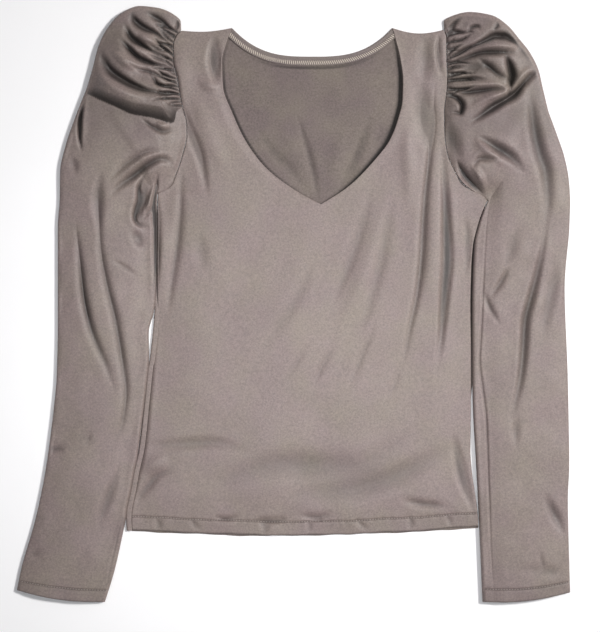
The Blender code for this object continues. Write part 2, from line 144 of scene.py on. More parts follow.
# Outlines of the body, as in the frame
HEM = ((0.0, -247.5), (0.41, -253.0), (0.72, -249.5), (1.0, -243.0))
HEM_UNEVEN = ((0.4, 29, 1), (0.2, 83, 2))    # height, rate and turn of the waves along it
RIGHT_FOLD = table(Point, (-182, -247.5), (-183, -231), (-178, -203.5), (-174, -181.5), (-169, -159.5),
                   (-162.5, -104.5), (-159.5, -76), (-156.5, -50.5), (-154, -27.5), (-152.5, -10),
                   (-150.5, 16.5), (-149.5, 49.5), (-149.5, 99), (-149, 123))
RIGHT_SEAM = table(Point, (-177.5, -247.5), (-178, -231), (-173, -203.5), (-169, -181.5), (-164, -159.5),
                   (-158, -104.5), (-155, -76), (-152, -50.5), (-149.5, -27.5), (-149, -10), (-149.5, 16.5),
                   (-149.3, 49.5), (-149.3, 99), (-149, 123))
LEFT_FOLD = table(Point, (203, -243), (202.5, -231), (199, -203.5), (196, -181.5), (194.5, -159.5),
                  (195, -104.5), (195, -49.5), (194.5, -1), (195.5, 43), (197, 62.5), (202.5, 87),
                  (208.5, 104.5), (213.5, 115.5))
RIGHT_ARMHOLE = table(Point, (-149, 123), (-139.5, 127), (-133.5, 132), (-130, 141), (-124.5, 156),
                      (-120, 171.5), (-117, 187), (-117.5, 200), (-121.5, 216.5), (-124.5, 231),
                      (-128, 252), (-131.5, 266), (-132, 285), (-128.5, 296), (-123, 301.5))
LEFT_ARMHOLE = table(Point, (213.5, 115.5), (206.5, 120.5), (194, 127), (183, 136.5), (175.5, 150.5),
                     (169, 166), (166, 189), (165.5, 212.5), (168, 233.5), (169, 248.5), (168, 274),
                     (168, 293.5), (165, 302.5))
RIGHT_NECK = table(Point, (30, 110.5), (2, 126), (-30, 150.5), (-53, 181), (-68, 213), (-77.5, 240),
                   (-78.5, 268), (-74, 287), (-67.5, 304.5))
LEFT_NECK = table(Point, (30, 110.5), (60, 130), (91, 161.5), (105.5, 181), (114, 202), (119.5, 226),
                  (120, 247), (117, 271), (108.5, 304.5))
SHOULDER_DIP = {"right": 2.5, "left": 5.0}
NECK_REST = (0.35, 1.5)  # how much of its height the front keeps beside the neck, right and left
SHOULDER_RISE = 180.0    # from the armholes' lower ends to the shoulders
SCOOP_CENTRE, SCOOP_HALF, SCOOP_DEPTH, NECK_TOP = 20.5, 88.0, 31.5, 304.5
TURNING_HALF, TURNING_TOP = 87.5, 2.35   # half the length and the upper face of the turned neck edge

# Outlines of the sleeves, as in the frame
FAN = 4.0                # how much of a head's bulge stays near its outer edge
CUFF_DROP = 4.0          # how far a cuff's edge bows down in its middle
RIGHT_HEAD = table(Head, (-123.5, 302, 2.7, 1.35), (-124, 311.5, 7, 2.6), (-132, 319.5, 9, 4),
                   (-149, 326.5, 11, 5), (-169, 328.5, 12, 6), (-188.5, 321, 13, 7), (-204, 304.5, 13, 7),
                   (-214, 285, 13, 7), (-220.5, 260.5, 13, 7), (-227, 238.5, 12, 6.5),
                   (-231.5, 227.5, 11.5, 6))
LEFT_HEAD = table(Head, (165.7, 302.7, 2.7, 1.35), (165.2, 311.5, 7, 2.6), (175, 318, 9, 4),
                  (193.5, 322, 11, 5), (217, 318.5, 12, 6), (234, 308, 13, 7), (248, 292, 13, 7),
                  (260, 276.5, 13, 7), (269, 258, 13, 7), (274, 237, 12, 6.5), (280, 212.5, 11.5, 6))
RIGHT_ARM = table(Arm, (-231.5, 227.5, -149.7, 121, 11.5, 6, 1.5),
                  (-241.5, 201.5, -149.5, 113, 11, 5.5, 1.5), (-250.5, 175, -149.5, 101, 10.5, 5, 1.5),
                  (-256.5, 146.5, -149.5, 82.5, 10, 4.5, 1.6), (-257, 115.5, -149.5, 65, 10, 4, 1.7),
                  (-259, 82.5, -149.6, 45, 9.5, 4, 1.9), (-259, 8, -152.5, -2, 9.5, 4, 2.6),
                  (-259, -25, -159, -31, 9.5, 4, 3.2), (-259.5, -54, -158.6, -57, 9.5, 4, 3.4),
                  (-260.5, -82.5, -161, -83.5, 9.5, 4, 3.5), (-271, -172.5, -172.2, -171.5, 9.5, 4, 3.5),
                  (-283, -233, -183.5, -232, 9.5, 4, 3.5), (-298.5, -287, -197, -293.5, 9.5, 4, 3.5),
                  (-304, -313, -207, -326, 9.5, 4, 3.5))
LEFT_ARM = table(Arm, (280, 212.5, 213.5, 113.5, 11.5, 6, 2), (289, 188, 209.5, 107, 11, 5.5, 2.4),
                 (297.5, 163, 206, 98, 10.5, 5, 2.8), (302.5, 137.5, 202.5, 88, 10, 4.5, 3),
                 (304, 113.5, 199.5, 74, 10, 4, 3.2), (303, 82.5, 198.2, 58.5, 9.5, 4, 3.5),
                 (298, 16.5, 196.3, -1, 9.5, 4, 3.5), (301.5, -82.5, 196.6, -92.5, 9.5, 4, 3.5),
                 (303, -172.5, 200.3, -172.5, 9.5, 4, 3.5), (301.5, -214.5, 202.6, -214.5, 9.5, 4, 3.5),
                 (302.5, -264, 204.8, -264, 9.5, 4, 3.5), (304, -315.5, 207.5, -326, 9.5, 4, 3.5))

# Creases. Their troughs also darken the cloth's colour as painted shade, through the fold attribute
FRONT_CREASES = laid(
    # Down the left side
    (6.2, -5.2, (166, 178), (167.5, 154), (170, 99), (171.5, 53), (168, 7), (165, -34), (160, -70)),
    (5.2, -3.2, (157, 240), (156, 205), (152, 168), (146, 108), (143, 53), (138, 12), (130, -24),
     (122, -70)),
    (11, -1.7, (150, 298), (150, 280), (149, 262), (148, 244)),
    (12, -2.4, (146, 252), (147, 228), (150, 200), (152, 168)),
    (8, 1.3, (158, 130), (157, 60), (153, -20)),
    # Slanting over the middle
    (8.5, -1.3, (90, 128), (79, 88), (68, 55), (55, 22), (44, -5)),
    (8.5, -1.0, (114, 130), (106, 85), (98, 45), (88, 5), (74, -40)),
    (8, 1.0, (103, 120), (88, 55), (68, 5), (45, -50)),
    (9, -0.8, (30, 60), (5, 5), (-35, -55)),
    (4.8, -0.9, (92, -18), (80, -48), (62, -92)),
    (4.8, -0.9, (47, -42), (36, -62), (22, -92)),
    (4.5, -0.7, (20, -40), (8, -58), (-8, -84)),
    (4.5, -0.7, (120, -60), (114, -84), (104, -104)),
    # At the left shoulder and armpit
    (3.5, -2.4, (163, 300), (160, 285), (161, 268), (165, 252)),
    (8, 1.6, (126, 205), (129, 170), (131, 135), (129, 100)),
    (4.5, -2.2, (190, 98), (193, 75), (193, 55), (191, 36)),
    # Down the right side, and from the right armhole
    (5.4, -2.3, (-120.5, 150), (-121.2, 132), (-121.8, 108), (-125, 70), (-132, 20), (-136, -10)),
    (2.4, -3.2, (-147.6, 122), (-147.4, 100), (-147.4, 60), (-147.6, 25)),
    (7, 1.3, (-138, 110), (-140, 60), (-144, 10)),
    (6.2, -2.4, (-124.5, 236), (-121, 218), (-117, 206), (-112, 193), (-106, 179.5), (-101, 167),
     (-97, 152), (-94, 136), (-91, 116)),
    (12, 2.2, (-104, 238), (-97, 210), (-86, 180), (-68, 150)),
    (10, -1.0, (-98, 84), (-97, 60), (-94, 36)),
    # Waves above the hem
    (8, -1.4, (-168, -154), (-126, -152), (-86, -150), (-40, -162)),
    (5.5, -2.4, (-172, -218), (-158, -199), (-146, -186), (-130, -181)),
    (8, 1.8, (-165, -180), (-148, -173), (-132, -166)),
    (19, -1.6, (-100, -192), (-70, -188), (-2, -172), (71, -175), (112, -158), (150, -126)),
    (17, -1.9, (-10, -206), (66, -200), (135, -178), (190, -148)),
    (6.5, -2.8, (179, -138), (182, -160), (188, -188), (200, -226)),
    (4.5, -2.8, (122, -214), (144, -218), (168, -220)),
    # Puckers at the hem's stitches
    (4, -2.6, (-40, -235), (-22, -237), (-4, -234)),
    (4, -2.4, (8, -230), (26, -233), (44, -229)),
    (3.5, -2.0, (-86, -232), (-72, -234.5), (-58, -232)),
    (3.8, -1.6, (-150, -233), (-146, -240), (-147, -248)),
    (3.4, -1.1, (-112, -234), (-107, -241), (-101, -246)),
    (4.4, -1.9, (-36, -237), (-29, -244), (-31, -251)),
    (3.8, -1.3, (14, -235), (19, -242), (18, -250)),
    (3.4, -1.2, (71, -234), (75, -240), (83, -246)),
    (3.8, -1.5, (128, -232), (131, -239), (129, -246)),
    (3.4, -1.1, (168, -230), (173, -236), (174, -243)),
    # At the right shoulder
    (8, -3.4, (-83, 297), (-84, 281), (-83.5, 262), (-81, 242)),
    (15, 1.9, (-122, 292), (-119, 255), (-114, 215)),
    (5, 1.6, (-104, 250), (-92, 242), (-77, 238)),
    # Beside the right side seam: a trough whose painted shade darkens the seam line
    (2.8, -4.2, *RIGHT_SEAM[:10]),
)
BACK_CREASES = laid(
    (4.8, -2.1, (6, 208), (12, 190), (22, 156), (29, 122), (31, 108)),
    (8, -1.8, (92, 214), (85, 196), (71, 158), (50, 122)),
    (7, -1.2, (-40, 198), (-20, 172), (0, 150), (20, 124)),
    (7, -1.2, (110, 214), (100, 190), (86, 166)),
    (8, 1.2, (60, 200), (52, 165), (42, 128)),
    (9, 1.1, (-14, 205), (2, 176), (16, 140)),
    (12, 0.6, (50, 262), (52, 230), (50, 200)),
    (10, 0.6, (-50, 258), (-44, 232), (-40, 212)),
)
RIGHT_CREASES = laid(
    # The gathered head's folds, and the rounds between them
    (5.6, -3.0, (-177, 324), (-172, 313), (-163, 305), (-150, 298)),
    (2.6, -2.3, (-175, 320), (-171, 312), (-162, 305), (-150, 299), (-140, 291), (-132, 284.5)),
    (5.6, -3.2, (-183, 309), (-177, 296), (-167, 287), (-152, 279)),
    (2.8, -2.5, (-180, 304), (-178, 296.5), (-168, 288), (-157, 280.5), (-145, 274.6), (-132, 270)),
    (5.2, -2.9, (-189, 294), (-177, 280), (-165, 270), (-149, 264)),
    (2.6, -2.4, (-185, 289), (-177, 280), (-165, 270), (-153, 265), (-141, 262.4), (-130, 261)),
    (2.2, -1.9, (-163, 290), (-148, 281), (-132, 277)),
    (2.2, -1.8, (-168, 280), (-155, 273.7), (-143, 268.7), (-131, 265.8)),
    (2.4, -1.7, (-184, 268), (-170, 259), (-158, 256), (-145, 252.6), (-130, 254)),
    (7.6, -2.5, (-213, 284), (-198, 258), (-186, 248), (-170, 239), (-150, 234)),
    (3.8, -1.9, (-205, 270), (-199, 259), (-187, 249), (-172, 240.7), (-158, 235), (-141, 233),
     (-128, 235)),
    (2.6, -2.4, (-157, 256), (-152, 248), (-147, 242.5), (-139, 240.5), (-128, 241)),
    (5, -2.6, (-160, 323), (-147, 315), (-134, 304)),
    (2.2, -2.1, (-147, 315), (-138, 307), (-130, 299)),
    (2.2, -2.0, (-151, 308), (-140, 298), (-132, 292)),
    (2.4, -1.9, (-127, 317), (-126, 308), (-130, 301)),
    (3.0, -1.8, (-151, 232), (-139, 230), (-128, 233)),
    (5.0, 2.2, (-169, 298), (-158, 292), (-146, 286)),
    (5.0, 2.2, (-176, 286), (-164, 279), (-148, 273)),
    (5.5, 2.4, (-196, 279), (-180, 266), (-160, 259)),
    (7.0, 2.4, (-213, 256), (-196, 241), (-176, 231), (-156, 225)),
    # Down the outer edge below the head
    (2.8, -4.6, (-229, 236), (-232, 215), (-233.5, 200), (-233.5, 186), (-231, 170)),
    (6, -1.0, (-241, 164), (-238, 154), (-235, 144)),
    # The arches over the armpit, and the tuck below the overlapped fold
    (6.4, -3.4, (-199, 121), (-186, 133), (-173, 142.5), (-156, 155.5), (-143, 161), (-134, 158.5),
     (-130, 150)),
    (4.6, 1.8, (-192, 140), (-174, 152), (-157, 163), (-140, 167)),
    (5.2, -1.7, (-200, 139), (-174, 160), (-158, 168), (-138, 170)),
    (3.6, -1.8, (-165, 204), (-152, 195), (-141, 190.5), (-129, 193)),
    (3, 1.4, (-150, 200), (-141, 196.5), (-133, 198)),
    # Long troughs down the arm
    (5.8, -3.0, (-236, 88), (-232, 50), (-227.5, 10), (-220.5, -22), (-212, -45), (-203, -65), (-194, -90)),
    (7.5, -1.6, (-207, 148), (-210, 130), (-211, 110), (-209, 80)),
    (5.8, -2.3, (-212, 125), (-211, 100), (-209, 64), (-202, 23), (-193, -14), (-186, -55), (-181, -95),
     (-185, -128), (-199, -160)),
    (7, -1.3, (-188, -175), (-200, -210), (-212, -246)),
    (7, -1.5, (-174, 84), (-168, 74), (-164, 62)),
    (3, -0.9, (-198, 50), (-184, 42), (-170, 32)),
    # Small creases of the forearm
    (3.2, -2.0, (-270, -157), (-260, -158), (-248, -158)),
    (3.6, -1.2, (-239, -142), (-226, -144), (-216, -150)),
    (3.2, -1.0, (-282, -231), (-273, -235)),
    (3.6, -1.2, (-289, -271), (-280, -273), (-270, -277)),
    # The knot at the armpit, and the gap below it, where the deepest trough mostly paints shade along the
    # gap
    (3.2, -4.0, (-159, 146), (-165, 138), (-168.5, 128), (-168, 116), (-171, 106), (-173, 96), (-169, 89),
     (-158, 86)),
    (7.5, -2.6, (-157, 143), (-161, 130), (-163, 114), (-167, 100), (-163, 84)),
    (2.6, 2.4, (-151, 134), (-154.5, 122), (-158, 111), (-163.5, 103.5), (-162, 98)),
    (2.2, -2.4, (-152, 114), (-155, 106), (-161, 99), (-165, 95)),
    (3.2, -9.0, (-147.6, 142), (-150, 126), (-152, 111), (-151.2, 96), (-149.6, 80), (-149.4, 40),
     (-151.5, 0)),
    # Beside the inner edge
    (1.5, -0.9, (-172, -189), (-188, -239), (-201, -294), (-205, -313), (-207, -324)),
)
LEFT_CREASES = laid(
    # The gathered head's folds, and the rounds between them
    (2.2, -2.4, (192, 299), (196.5, 305), (203, 306.5), (206, 302)),
    (2.4, -2.6, (168, 297.5), (177.6, 301), (189, 299.5)),
    (2.4, -2.4, (186, 317), (176, 308.4), (168, 301)),
    (2.2, -1.9, (180, 309), (172, 300), (167, 296)),
    (2.6, -2.6, (226.5, 316), (225.5, 308), (219, 301)),
    (2.6, -2.8, (166, 271), (181, 277), (189.5, 281), (203, 286.4), (215, 292), (224, 295.5)),
    (5.6, -3.8, (198, 284), (213, 291), (224, 296), (233, 296), (243, 291), (258, 281)),
    (6, -1.4, (244, 291), (254, 282), (263, 268)),
    (4.4, 3.0, (182, 271), (204, 281), (223, 284), (240, 284), (258, 284)),
    (5, -3.6, (180, 265), (196, 274), (211.5, 278), (228, 278), (246, 277)),
    (2.2, -2.1, (167, 262), (181, 268.5), (189, 272)),
    (2.2, -2.1, (167, 256.5), (178, 261), (189, 262.7)),
    (2.2, -2.1, (167, 250.5), (181, 255), (191, 256.8)),
    (2.8, -2.6, (167, 245), (181, 247.5), (198, 249), (214, 246.5)),
    (3.6, 2.0, (176, 240), (198, 241), (223, 242), (238, 237)),
    (4.6, -2.7, (172, 236), (190, 234), (206, 235.7), (220, 237), (238, 235)),
    (5.4, -4.6, (234, 276), (240, 261), (242, 251), (240.5, 241), (237, 228)),
    (6.5, -3.7, (276, 262), (260.6, 251), (252, 242.4), (243.6, 232), (232, 225.5), (220, 217), (206, 207),
     (193, 199)),
    (2.6, -1.4, (257, 248), (247, 236), (236, 227), (221, 218)),
    (5.5, 2.6, (274, 260), (260, 257), (252, 249), (244, 240), (232, 231), (215, 227), (203, 220),
     (191, 210)),
    (3.6, -3.4, (166, 236), (174, 231), (183, 225.5), (186.5, 218.7), (184, 211), (174, 212)),
    (4.6, -1.9, (203, 272), (216.6, 261), (227, 252.6), (240, 247)),
    (8, -1.0, (184, 259), (206, 262), (226, 262)),
    # Down the upper arm and round the armpit
    (9, -2.3, (262, 236), (266, 212), (269, 190), (274, 168), (281, 146), (283, 118), (280, 84)),
    (7.5, -2.8, (203, 187), (223, 175), (242, 163), (257, 146)),
    (5, 1.6, (199, 184), (216, 168), (233, 154)),
    (4.5, -2.4, (198, 152), (207, 161), (228, 160)),
    (10, -1.5, (176, 205), (178, 184), (187, 160)),
    (5, -4.2, (181, 160), (188, 146), (199, 133), (210, 123)),
    (4, 2.0, (195, 155), (206, 140), (214, 123)),
    (3.2, 1.6, (178, 146), (188, 133), (203, 121)),
    # Long troughs down the arm
    (6.2, -2.5, (281, 100), (276, 65), (270, 36), (263, 8), (257, -16), (255, -50), (252, -77), (246, -105),
     (236, -136)),
    (9, -1.1, (292, 54), (289, 25), (282, -6), (277, -40)),
    (9, -0.8, (250, 90), (243, 65), (236, 40)),
    (4.5, -1.6, (238, 42), (229, 25), (218, 10)),
    (4.5, -1.6, (210, 16), (217, -2), (228, -20)),
    # Small creases of the forearm
    (6.5, -1.9, (277, -206), (289, -228), (301, -252)),
    (4.5, -1.4, (248, -289), (275, -290), (301, -294)),
    (4, -1.0, (271, -274), (277, -287)),
    (6, -1.0, (250, -118), (246, -136), (247, -156)),
    # Beside the inner edge
    (1.6, -1.2, (216, 115), (212, 82), (209, 27), (206.5, -27), (204.5, -60), (208, -91), (212, -124),
     (213.5, -165), (215, -206), (217, -262), (221, -323)),
)

# The fullness of each gathered head
RIGHT_SWELL = Crease(34, 8.0, ((-155, 305), (-185, 295), (-203, 250)))
LEFT_SWELL = Crease(34, 8.0, ((186, 300), (225, 285), (248, 240)))

# Overlapped folds: the cloth to the left of each path, seen along it, stands higher and slopes down to it
RIGHT_LEDGES = (
    Ledge(10.5, 11.5, 24, ((-246, 238), (-228, 232), (-210, 224), (-192, 216), (-177, 209), (-160, 206),
                           (-147, 203), (-136, 199.5), (-130, 202), (-129, 210), (-117, 222))),
)


def gather_row(shares, start_way, end_way, length, width, rise):
    """Fine gathers at even shares of an armhole, their way turning from the first's to the last's."""
    gathers = []
    for k, share in enumerate(shares):
        way = [lerp(a, b, k / (len(shares) - 1)) for a, b in zip(start_way, end_way)]
        gathers.append(Gather(float(share), *way, length, width, rise))
    return tuple(gathers)


RIGHT_GATHERS = gather_row(np.linspace(0.56, 0.975, 25), (-1.0, -0.05), (-0.8, 0.6), 20, 1.45, -2.8)
LEFT_GATHERS = gather_row(np.linspace(0.64, 0.97, 19), (0.98, 0.0), (0.85, 0.5), 23, 1.45, -2.8)

SLEEVES = (Sleeve("right_sleeve", RIGHT_ARMHOLE, RIGHT_FOLD, RIGHT_HEAD, RIGHT_ARM, RIGHT_SWELL,
                  RIGHT_CREASES, RIGHT_LEDGES, RIGHT_GATHERS),
           Sleeve("left_sleeve", LEFT_ARMHOLE, LEFT_FOLD, LEFT_HEAD, LEFT_ARM, LEFT_SWELL,
                  LEFT_CREASES, (), LEFT_GATHERS))
GATHER_SEED = 11
GATHER_SIZES = (0.6, 1.6)    # how much the gathers' lengths differ
GATHER_TALLEST = 1.25        # the most by which one rises above the table's height
GATHER_WIDTHS = (0.8, 1.25)
GATHER_TURN, GATHER_BEND = 0.3, 0.12
GATHER_BEFORE = 7            # how far before the armhole's edge one starts

# Soft waves over the cloth
FRONT_WAVES = table(Wave, (95, 0.45, 3), (42, 0.14, 4))
BACK_WAVES = table(Wave, (60, 0.25, 6))
TURNING_WAVES = table(Wave, (22, 0.12, 9))
SLEEVE_WAVES = table(Wave, (70, 0.5, 5), (26, 0.16, 8))
UNDERSIDE_WAVES = table(Wave, (40, 0.9, 12))
WAVES_IN_ONE, WAVES_HEIGHT = 12, 3.5     # how many sines make a wave, and about how high they add up
WAVE_SIZES = (0.7, 1.6)

# The overlock's threads
LOOP_PITCH, LOOP_LENGTH, LOOP_RADIUS, LOOP_LIFT = 2.2, 6.3, 0.58, 0.35
LOOP_TOP, LOOP_BOTTOM = 6, -2            # the rows of the turned edge that they span
STITCH_LIFT = 0.4                        # how far a stitch lies above the middle of its groove

# How creases look, and the painted shade in them and in seams and hems
TROUGH_LIP = 0.8         # how much cloth a trough pushes up beside it
FRONT_CREASE_SHARE, BACK_CREASE_SHADE = 1.4, 1.5     # how much of its creases the front keeps, in shape and in painted shade, and how much painted shade the back's creases add
ARM_SHARE, HEAD_SHARE = 1.7, 2.3  # how much of their creases the arms and the gathered heads keep, in shape and in painted shade
ARM_TOP, HEAD_BAND = 150, 60      # where the arms' share ends, and how far up the heads' share begins
HEAD_SHADE = 1.5         # painted shade: how much darker the gathered heads are all over
SHADE_LOW, SHADE_BAND = 145, 80   # where that painted shade begins, and how far up it is whole
LEDGE_SHADE = 5.0        # painted shade on the slope of an overlapped fold
SEW_SHADE = 3.2          # painted shade in the groove of a stitch line
HEM_EDGE_SHADE, HEM_SHADE = 2.0, 0.5     # painted shade on a turned hem at its edge and all over
DARKEST = 0.2            # how much of its colour the deepest painted shade keeps
WARM_TINT = (0.215, 0.190, 0.140, 1.0)   # what the jersey's colour drifts towards in patches
SHARP_UNDER = 6.0        # a trough narrower than this has a sharp bottom
FULL_FROM = 20           # a crease wider than this is the fullness of a head
PATH_POINTS = 40
LIGHT_SHIFT = 0.45       # a shaded wall stands this share of a crease's width from its middle


def ease(share):
    """0 to 1 with flat ends."""
    share = np.clip(share, 0.0, 1.0)
    return share * share * (3 - 2 * share)


def smooth(keys, values, at):
    """Smooth values at places along rising keys that never overshoot their neighbours."""
    keys, values = np.asarray(keys, float), np.asarray(values, float)
    slopes = np.diff(values) / np.diff(keys)
    before, after = slopes[:-1], slopes[1:]
    turning = before * after <= 0
    inner = np.where(turning, 0.0, 2 * before * after / np.where(turning, 1.0, before + after))
    bends = np.concatenate((slopes[:1], inner, slopes[-1:]))
    at = np.asarray(at, float)
    i = np.clip(np.searchsorted(keys, at, side="right") - 1, 0, len(keys) - 2)
    span = keys[i + 1] - keys[i]
    u = (at - keys[i]) / span
    return (values[i] * (1 + 2 * u) * (1 - u) ** 2 + bends[i] * span * u * (1 - u) ** 2
            + values[i + 1] * u * u * (3 - 2 * u) + bends[i + 1] * span * u * u * (u - 1))


def lengths_of(points):
    """The length from the first of some points to each."""
    steps = [math.dist(a, b) for a, b in zip(points, points[1:])]
    return np.concatenate(([0.0], np.cumsum(steps)))


def along(points, share):
    """The places at shares of the length of a smooth curve through points."""
    lengths = lengths_of(points)
    at = share * lengths[-1]
    return (smooth(lengths, [p[0] for p in points], at), smooth(lengths, [p[1] for p in points], at))


def column(rows, name, at):
    """One named column of a table at fractional rows."""
    return smooth(range(len(rows)), [getattr(row, name) for row in rows], at)


def spread(width, count):
    """Distances across rows of some widths, close together near both edges."""
    near = np.array(EDGE_STEPS)
    inner = np.linspace(0, 1, count + 2)[1:-1]
    width = np.asarray(width, float).reshape(-1, 1)
    middle = near[-1] + (width - 2 * near[-1]) * inner
    return np.concatenate((np.tile(near, (len(width), 1)), middle, width - near[::-1]), axis=1)


def near_path(path, shift, reach, x, y):
    """Where places lie near a path: which are near, their distance and side, and their share along it."""
    light = np.array((math.cos(KEY_TURN), math.sin(KEY_TURN)))
    line = np.stack(along(path, np.linspace(0, 1, PATH_POINTS)), axis=1) - shift * light
    low, high = line.min(axis=0) - reach, line.max(axis=0) + reach
    near = (x > low[0]) & (x < high[0]) & (y > low[1]) & (y < high[1])
    px, py = x[near], y[near]
    best, share, side = np.full(px.shape, np.inf), np.zeros_like(px), np.zeros_like(px)
    for k, (a, b) in enumerate(zip(line, line[1:])):
        step = b - a
        part = np.clip(((px - a[0]) * step[0] + (py - a[1]) * step[1]) / step.dot(step), 0, 1)
        dx, dy = px - a[0] - part * step[0], py - a[1] - part * step[1]
        distance = np.hypot(dx, dy)
        closer = distance < best
        best = np.where(closer, distance, best)
        share = np.where(closer, (k + part) / (PATH_POINTS - 1), share)
        side = np.where(closer, np.sign(step[0] * dy - step[1] * dx), side)
    return near, best, side, share


def crease_rise(creases, x, y):
    """The height that creases add at places, each fading and narrowing at its ends."""
    total = np.zeros_like(x)
    for crease in creases:
        shift = LIGHT_SHIFT * crease.width if crease.width < FULL_FROM else 0.0
        near, distance, _, share = near_path(crease.path, shift, 3 * crease.width, x, y)
        sharp = crease.rise < 0 and crease.width < SHARP_UNDER
        ends = np.sin(math.pi * np.clip(share, 0.02, 0.98)) ** (0.95 if sharp else 1.3)
        across = (distance / (crease.width * (0.55 + 0.45 * ends))) ** (1.35 if sharp else 2)
        lip = 1 - TROUGH_LIP * across if crease.rise < 0 else 1.0
        total[near] += crease.rise * ends * np.exp(-across) * lip
    return total


def ledge_rise(ledges, x, y):
    """The height that overlapped folds add, up from each path and slowly down, and the painted shade on
    their slopes.
    """
    rise, painted_shade = np.zeros_like(x), np.zeros_like(x)
    for ledge in ledges:
        near, distance, side, share = near_path(ledge.path, 0.0, 3 * ledge.reach, x, y)
        ends = ease(share * 5) * ease((1 - share) * 6)
        width = ledge.width * (0.75 + 0.8 * share)
        slope = np.clip(distance * side / width, 0, 1)
        fall = np.exp(-(np.maximum(distance - width, 0) / ledge.reach) ** 2)
        rise[near] += ledge.rise * ends * np.where(slope < 1, slope * (1.3 - 0.3 * slope), fall)
        # painted shade down the slope, darkest at its foot
        painted_shade[near] -= LEDGE_SHADE * ends * np.where(slope > 0, (1 - slope) ** 0.8, 0)
    return rise, painted_shade


def gather_creases(sleeve):
    """The fine gathers of a sleeve as creases, each a little different."""
    chance = np.random.default_rng(GATHER_SEED)
    creases = []
    for gather in sleeve.gathers:
        x, y = (float(place) for place in along(sleeve.armhole, gather.share))
        size = chance.uniform(*GATHER_SIZES)
        length, turn = gather.length * size, chance.uniform(-GATHER_TURN, GATHER_TURN)
        way_x = gather.way_x * math.cos(turn) - gather.way_y * math.sin(turn)
        way_y = gather.way_x * math.sin(turn) + gather.way_y * math.cos(turn)
        bend = chance.uniform(-GATHER_BEND, GATHER_BEND) * length
        width = gather.width * chance.uniform(*GATHER_WIDTHS)
        path = [(x + way * way_x - aside * way_y, y + way * way_y + aside * way_x)
                for way, aside in ((-GATHER_BEFORE, 0), (0.5 * length, bend), (length, 0))]
        creases.append(Crease(width, gather.rise * min(size, GATHER_TALLEST), path))
    return tuple(creases)


def ripples(x, y, waves):
    """Soft seeded waves, each about its size apart."""
    whole = np.zeros_like(x)
    for wave in waves:
        chance = np.random.default_rng(wave.seed)
        total = np.zeros_like(x)
        for _ in range(WAVES_IN_ONE):
            turn, start = chance.uniform(0, math.tau, 2)
            rate = math.tau / (wave.size * chance.uniform(*WAVE_SIZES))
            total += np.sin(rate * (x * math.cos(turn) + y * math.sin(turn)) + start)
        whole += wave.height * total / WAVES_HEIGHT
    return whole


def edge_drop(distance, radius):
    """How far a rounded edge falls at a distance from it."""
    inside = np.clip(radius - distance, 0.0, radius)
    return radius - np.sqrt(radius ** 2 - inside ** 2)


def groove(distance, sew):
    """How near places are to the groove of a stitch line, 1 in its middle."""
    return np.exp(-((distance - sew) / GROOVE_HALF) ** 2)


def hem_step(distance, sew):
    """What a turned hem adds to the cloth's height at a distance from its edge."""
    return HEM_EXTRA * (1 - ease((distance - sew + 0.5) / 0.9))


def turned_up(distance, sew):
    """Where the cloth is a turned hem."""
    return distance < sew - 0.1


def hem_painted_shade(distance, sew):
    """The painted shade of a turned hem: in its sewn groove, at its edge, and a little all over."""
    return (SEW_SHADE * groove(distance, sew) + HEM_EDGE_SHADE * np.exp(-(distance / 1.4) ** 2)
            + HEM_SHADE * (distance < sew))


def side_points(side, rise, top):
    """Places along a side of the body, at shares of its height up to a top."""
    y = lerp(side[0].y, top, rise)
    return smooth([p.y for p in side], [p.x for p in side], y), y


def hem_height(share, turn):
    """The hem's edge, a little uneven."""
    uneven = sum(height * np.sin(rate * share + times * turn) for height, rate, times in HEM_UNEVEN)
    return smooth(*zip(*HEM), share) + uneven


NECK_SHARE = (RIGHT_NECK[0].x - RIGHT_ARMHOLE[0].x) / (LEFT_ARMHOLE[0].x - RIGHT_ARMHOLE[0].x)


def chest_height(share):
    """The row through both armholes' lower ends and the point of the V."""
    heights = (RIGHT_ARMHOLE[0].y, RIGHT_NECK[0].y, LEFT_ARMHOLE[0].y)
    return np.interp(share, (0, NECK_SHARE, 1), heights)


def body_rows():
    """Rows from the hem to the armholes, as distances from the hem and shares of the height."""
    height = RIGHT_FOLD[-1].y - RIGHT_FOLD[0].y
    rows = np.concatenate((HEM_STEPS, np.linspace(HEM_STEPS[-1], height, BODY_ROWS)[1:]))
    return rows, rows / height


def shoulder_rows():
    """Rows from the armholes' lower ends to the shoulders, close together near the shoulders."""
    steps = SHOULDER_RISE - np.array(EDGE_STEPS)[::-1]
    rows = np.concatenate((np.linspace(0, steps[0], SHOULDER_ROWS + 1)[1:-1], steps))
    return SHOULDER_RISE - rows, rows / SHOULDER_RISE


def front_grid(side, armhole, neck, edge_share, dip, neck_rest):
    """Half of the front, from its outer edge to its centre line and the neck."""
    low, hem = front_below(side, armhole, neck, edge_share)
    high = front_above(armhole, neck, dip, neck_rest)
    x, y, z = (np.vstack(pair) for pair in zip(low, high))
    # fold: the creases' depth and the hem's painted shade, which darken the cloth's colour
    fold = FRONT_CREASE_SHARE * crease_rise(FRONT_CREASES, x, y)
    fold[:len(hem)] -= hem_painted_shade(hem, HEM_SEW)
    turned = np.zeros_like(x)
    turned[:len(hem)] = turned_up(hem, HEM_SEW)
    return Grid(x, y, z, x, y, fold, turned)


def front_below(side, armhole, neck, edge_share):
    """Places of the front below the armholes, and their distances from the hem."""
    hem_distance, rise = body_rows()
    outer_x, _ = side_points(side, rise, armhole[0].y)
    width = np.abs(neck[0].x - outer_x)
    distance = spread(width, FRONT_COLUMNS)
    across = distance / width[:, None]
    share = lerp(edge_share, NECK_SHARE, across)
    x = lerp(outer_x[:, None], neck[0].x, across)
    y = lerp(hem_height(share, 0.0), chest_height(share), rise[:, None])
    hem = np.repeat(hem_distance[:, None], across.shape[1], axis=1)
    far = np.full_like(x, FAR)
    return (x, y, front_height(x, y, distance, hem, far, far, 1.0)), hem


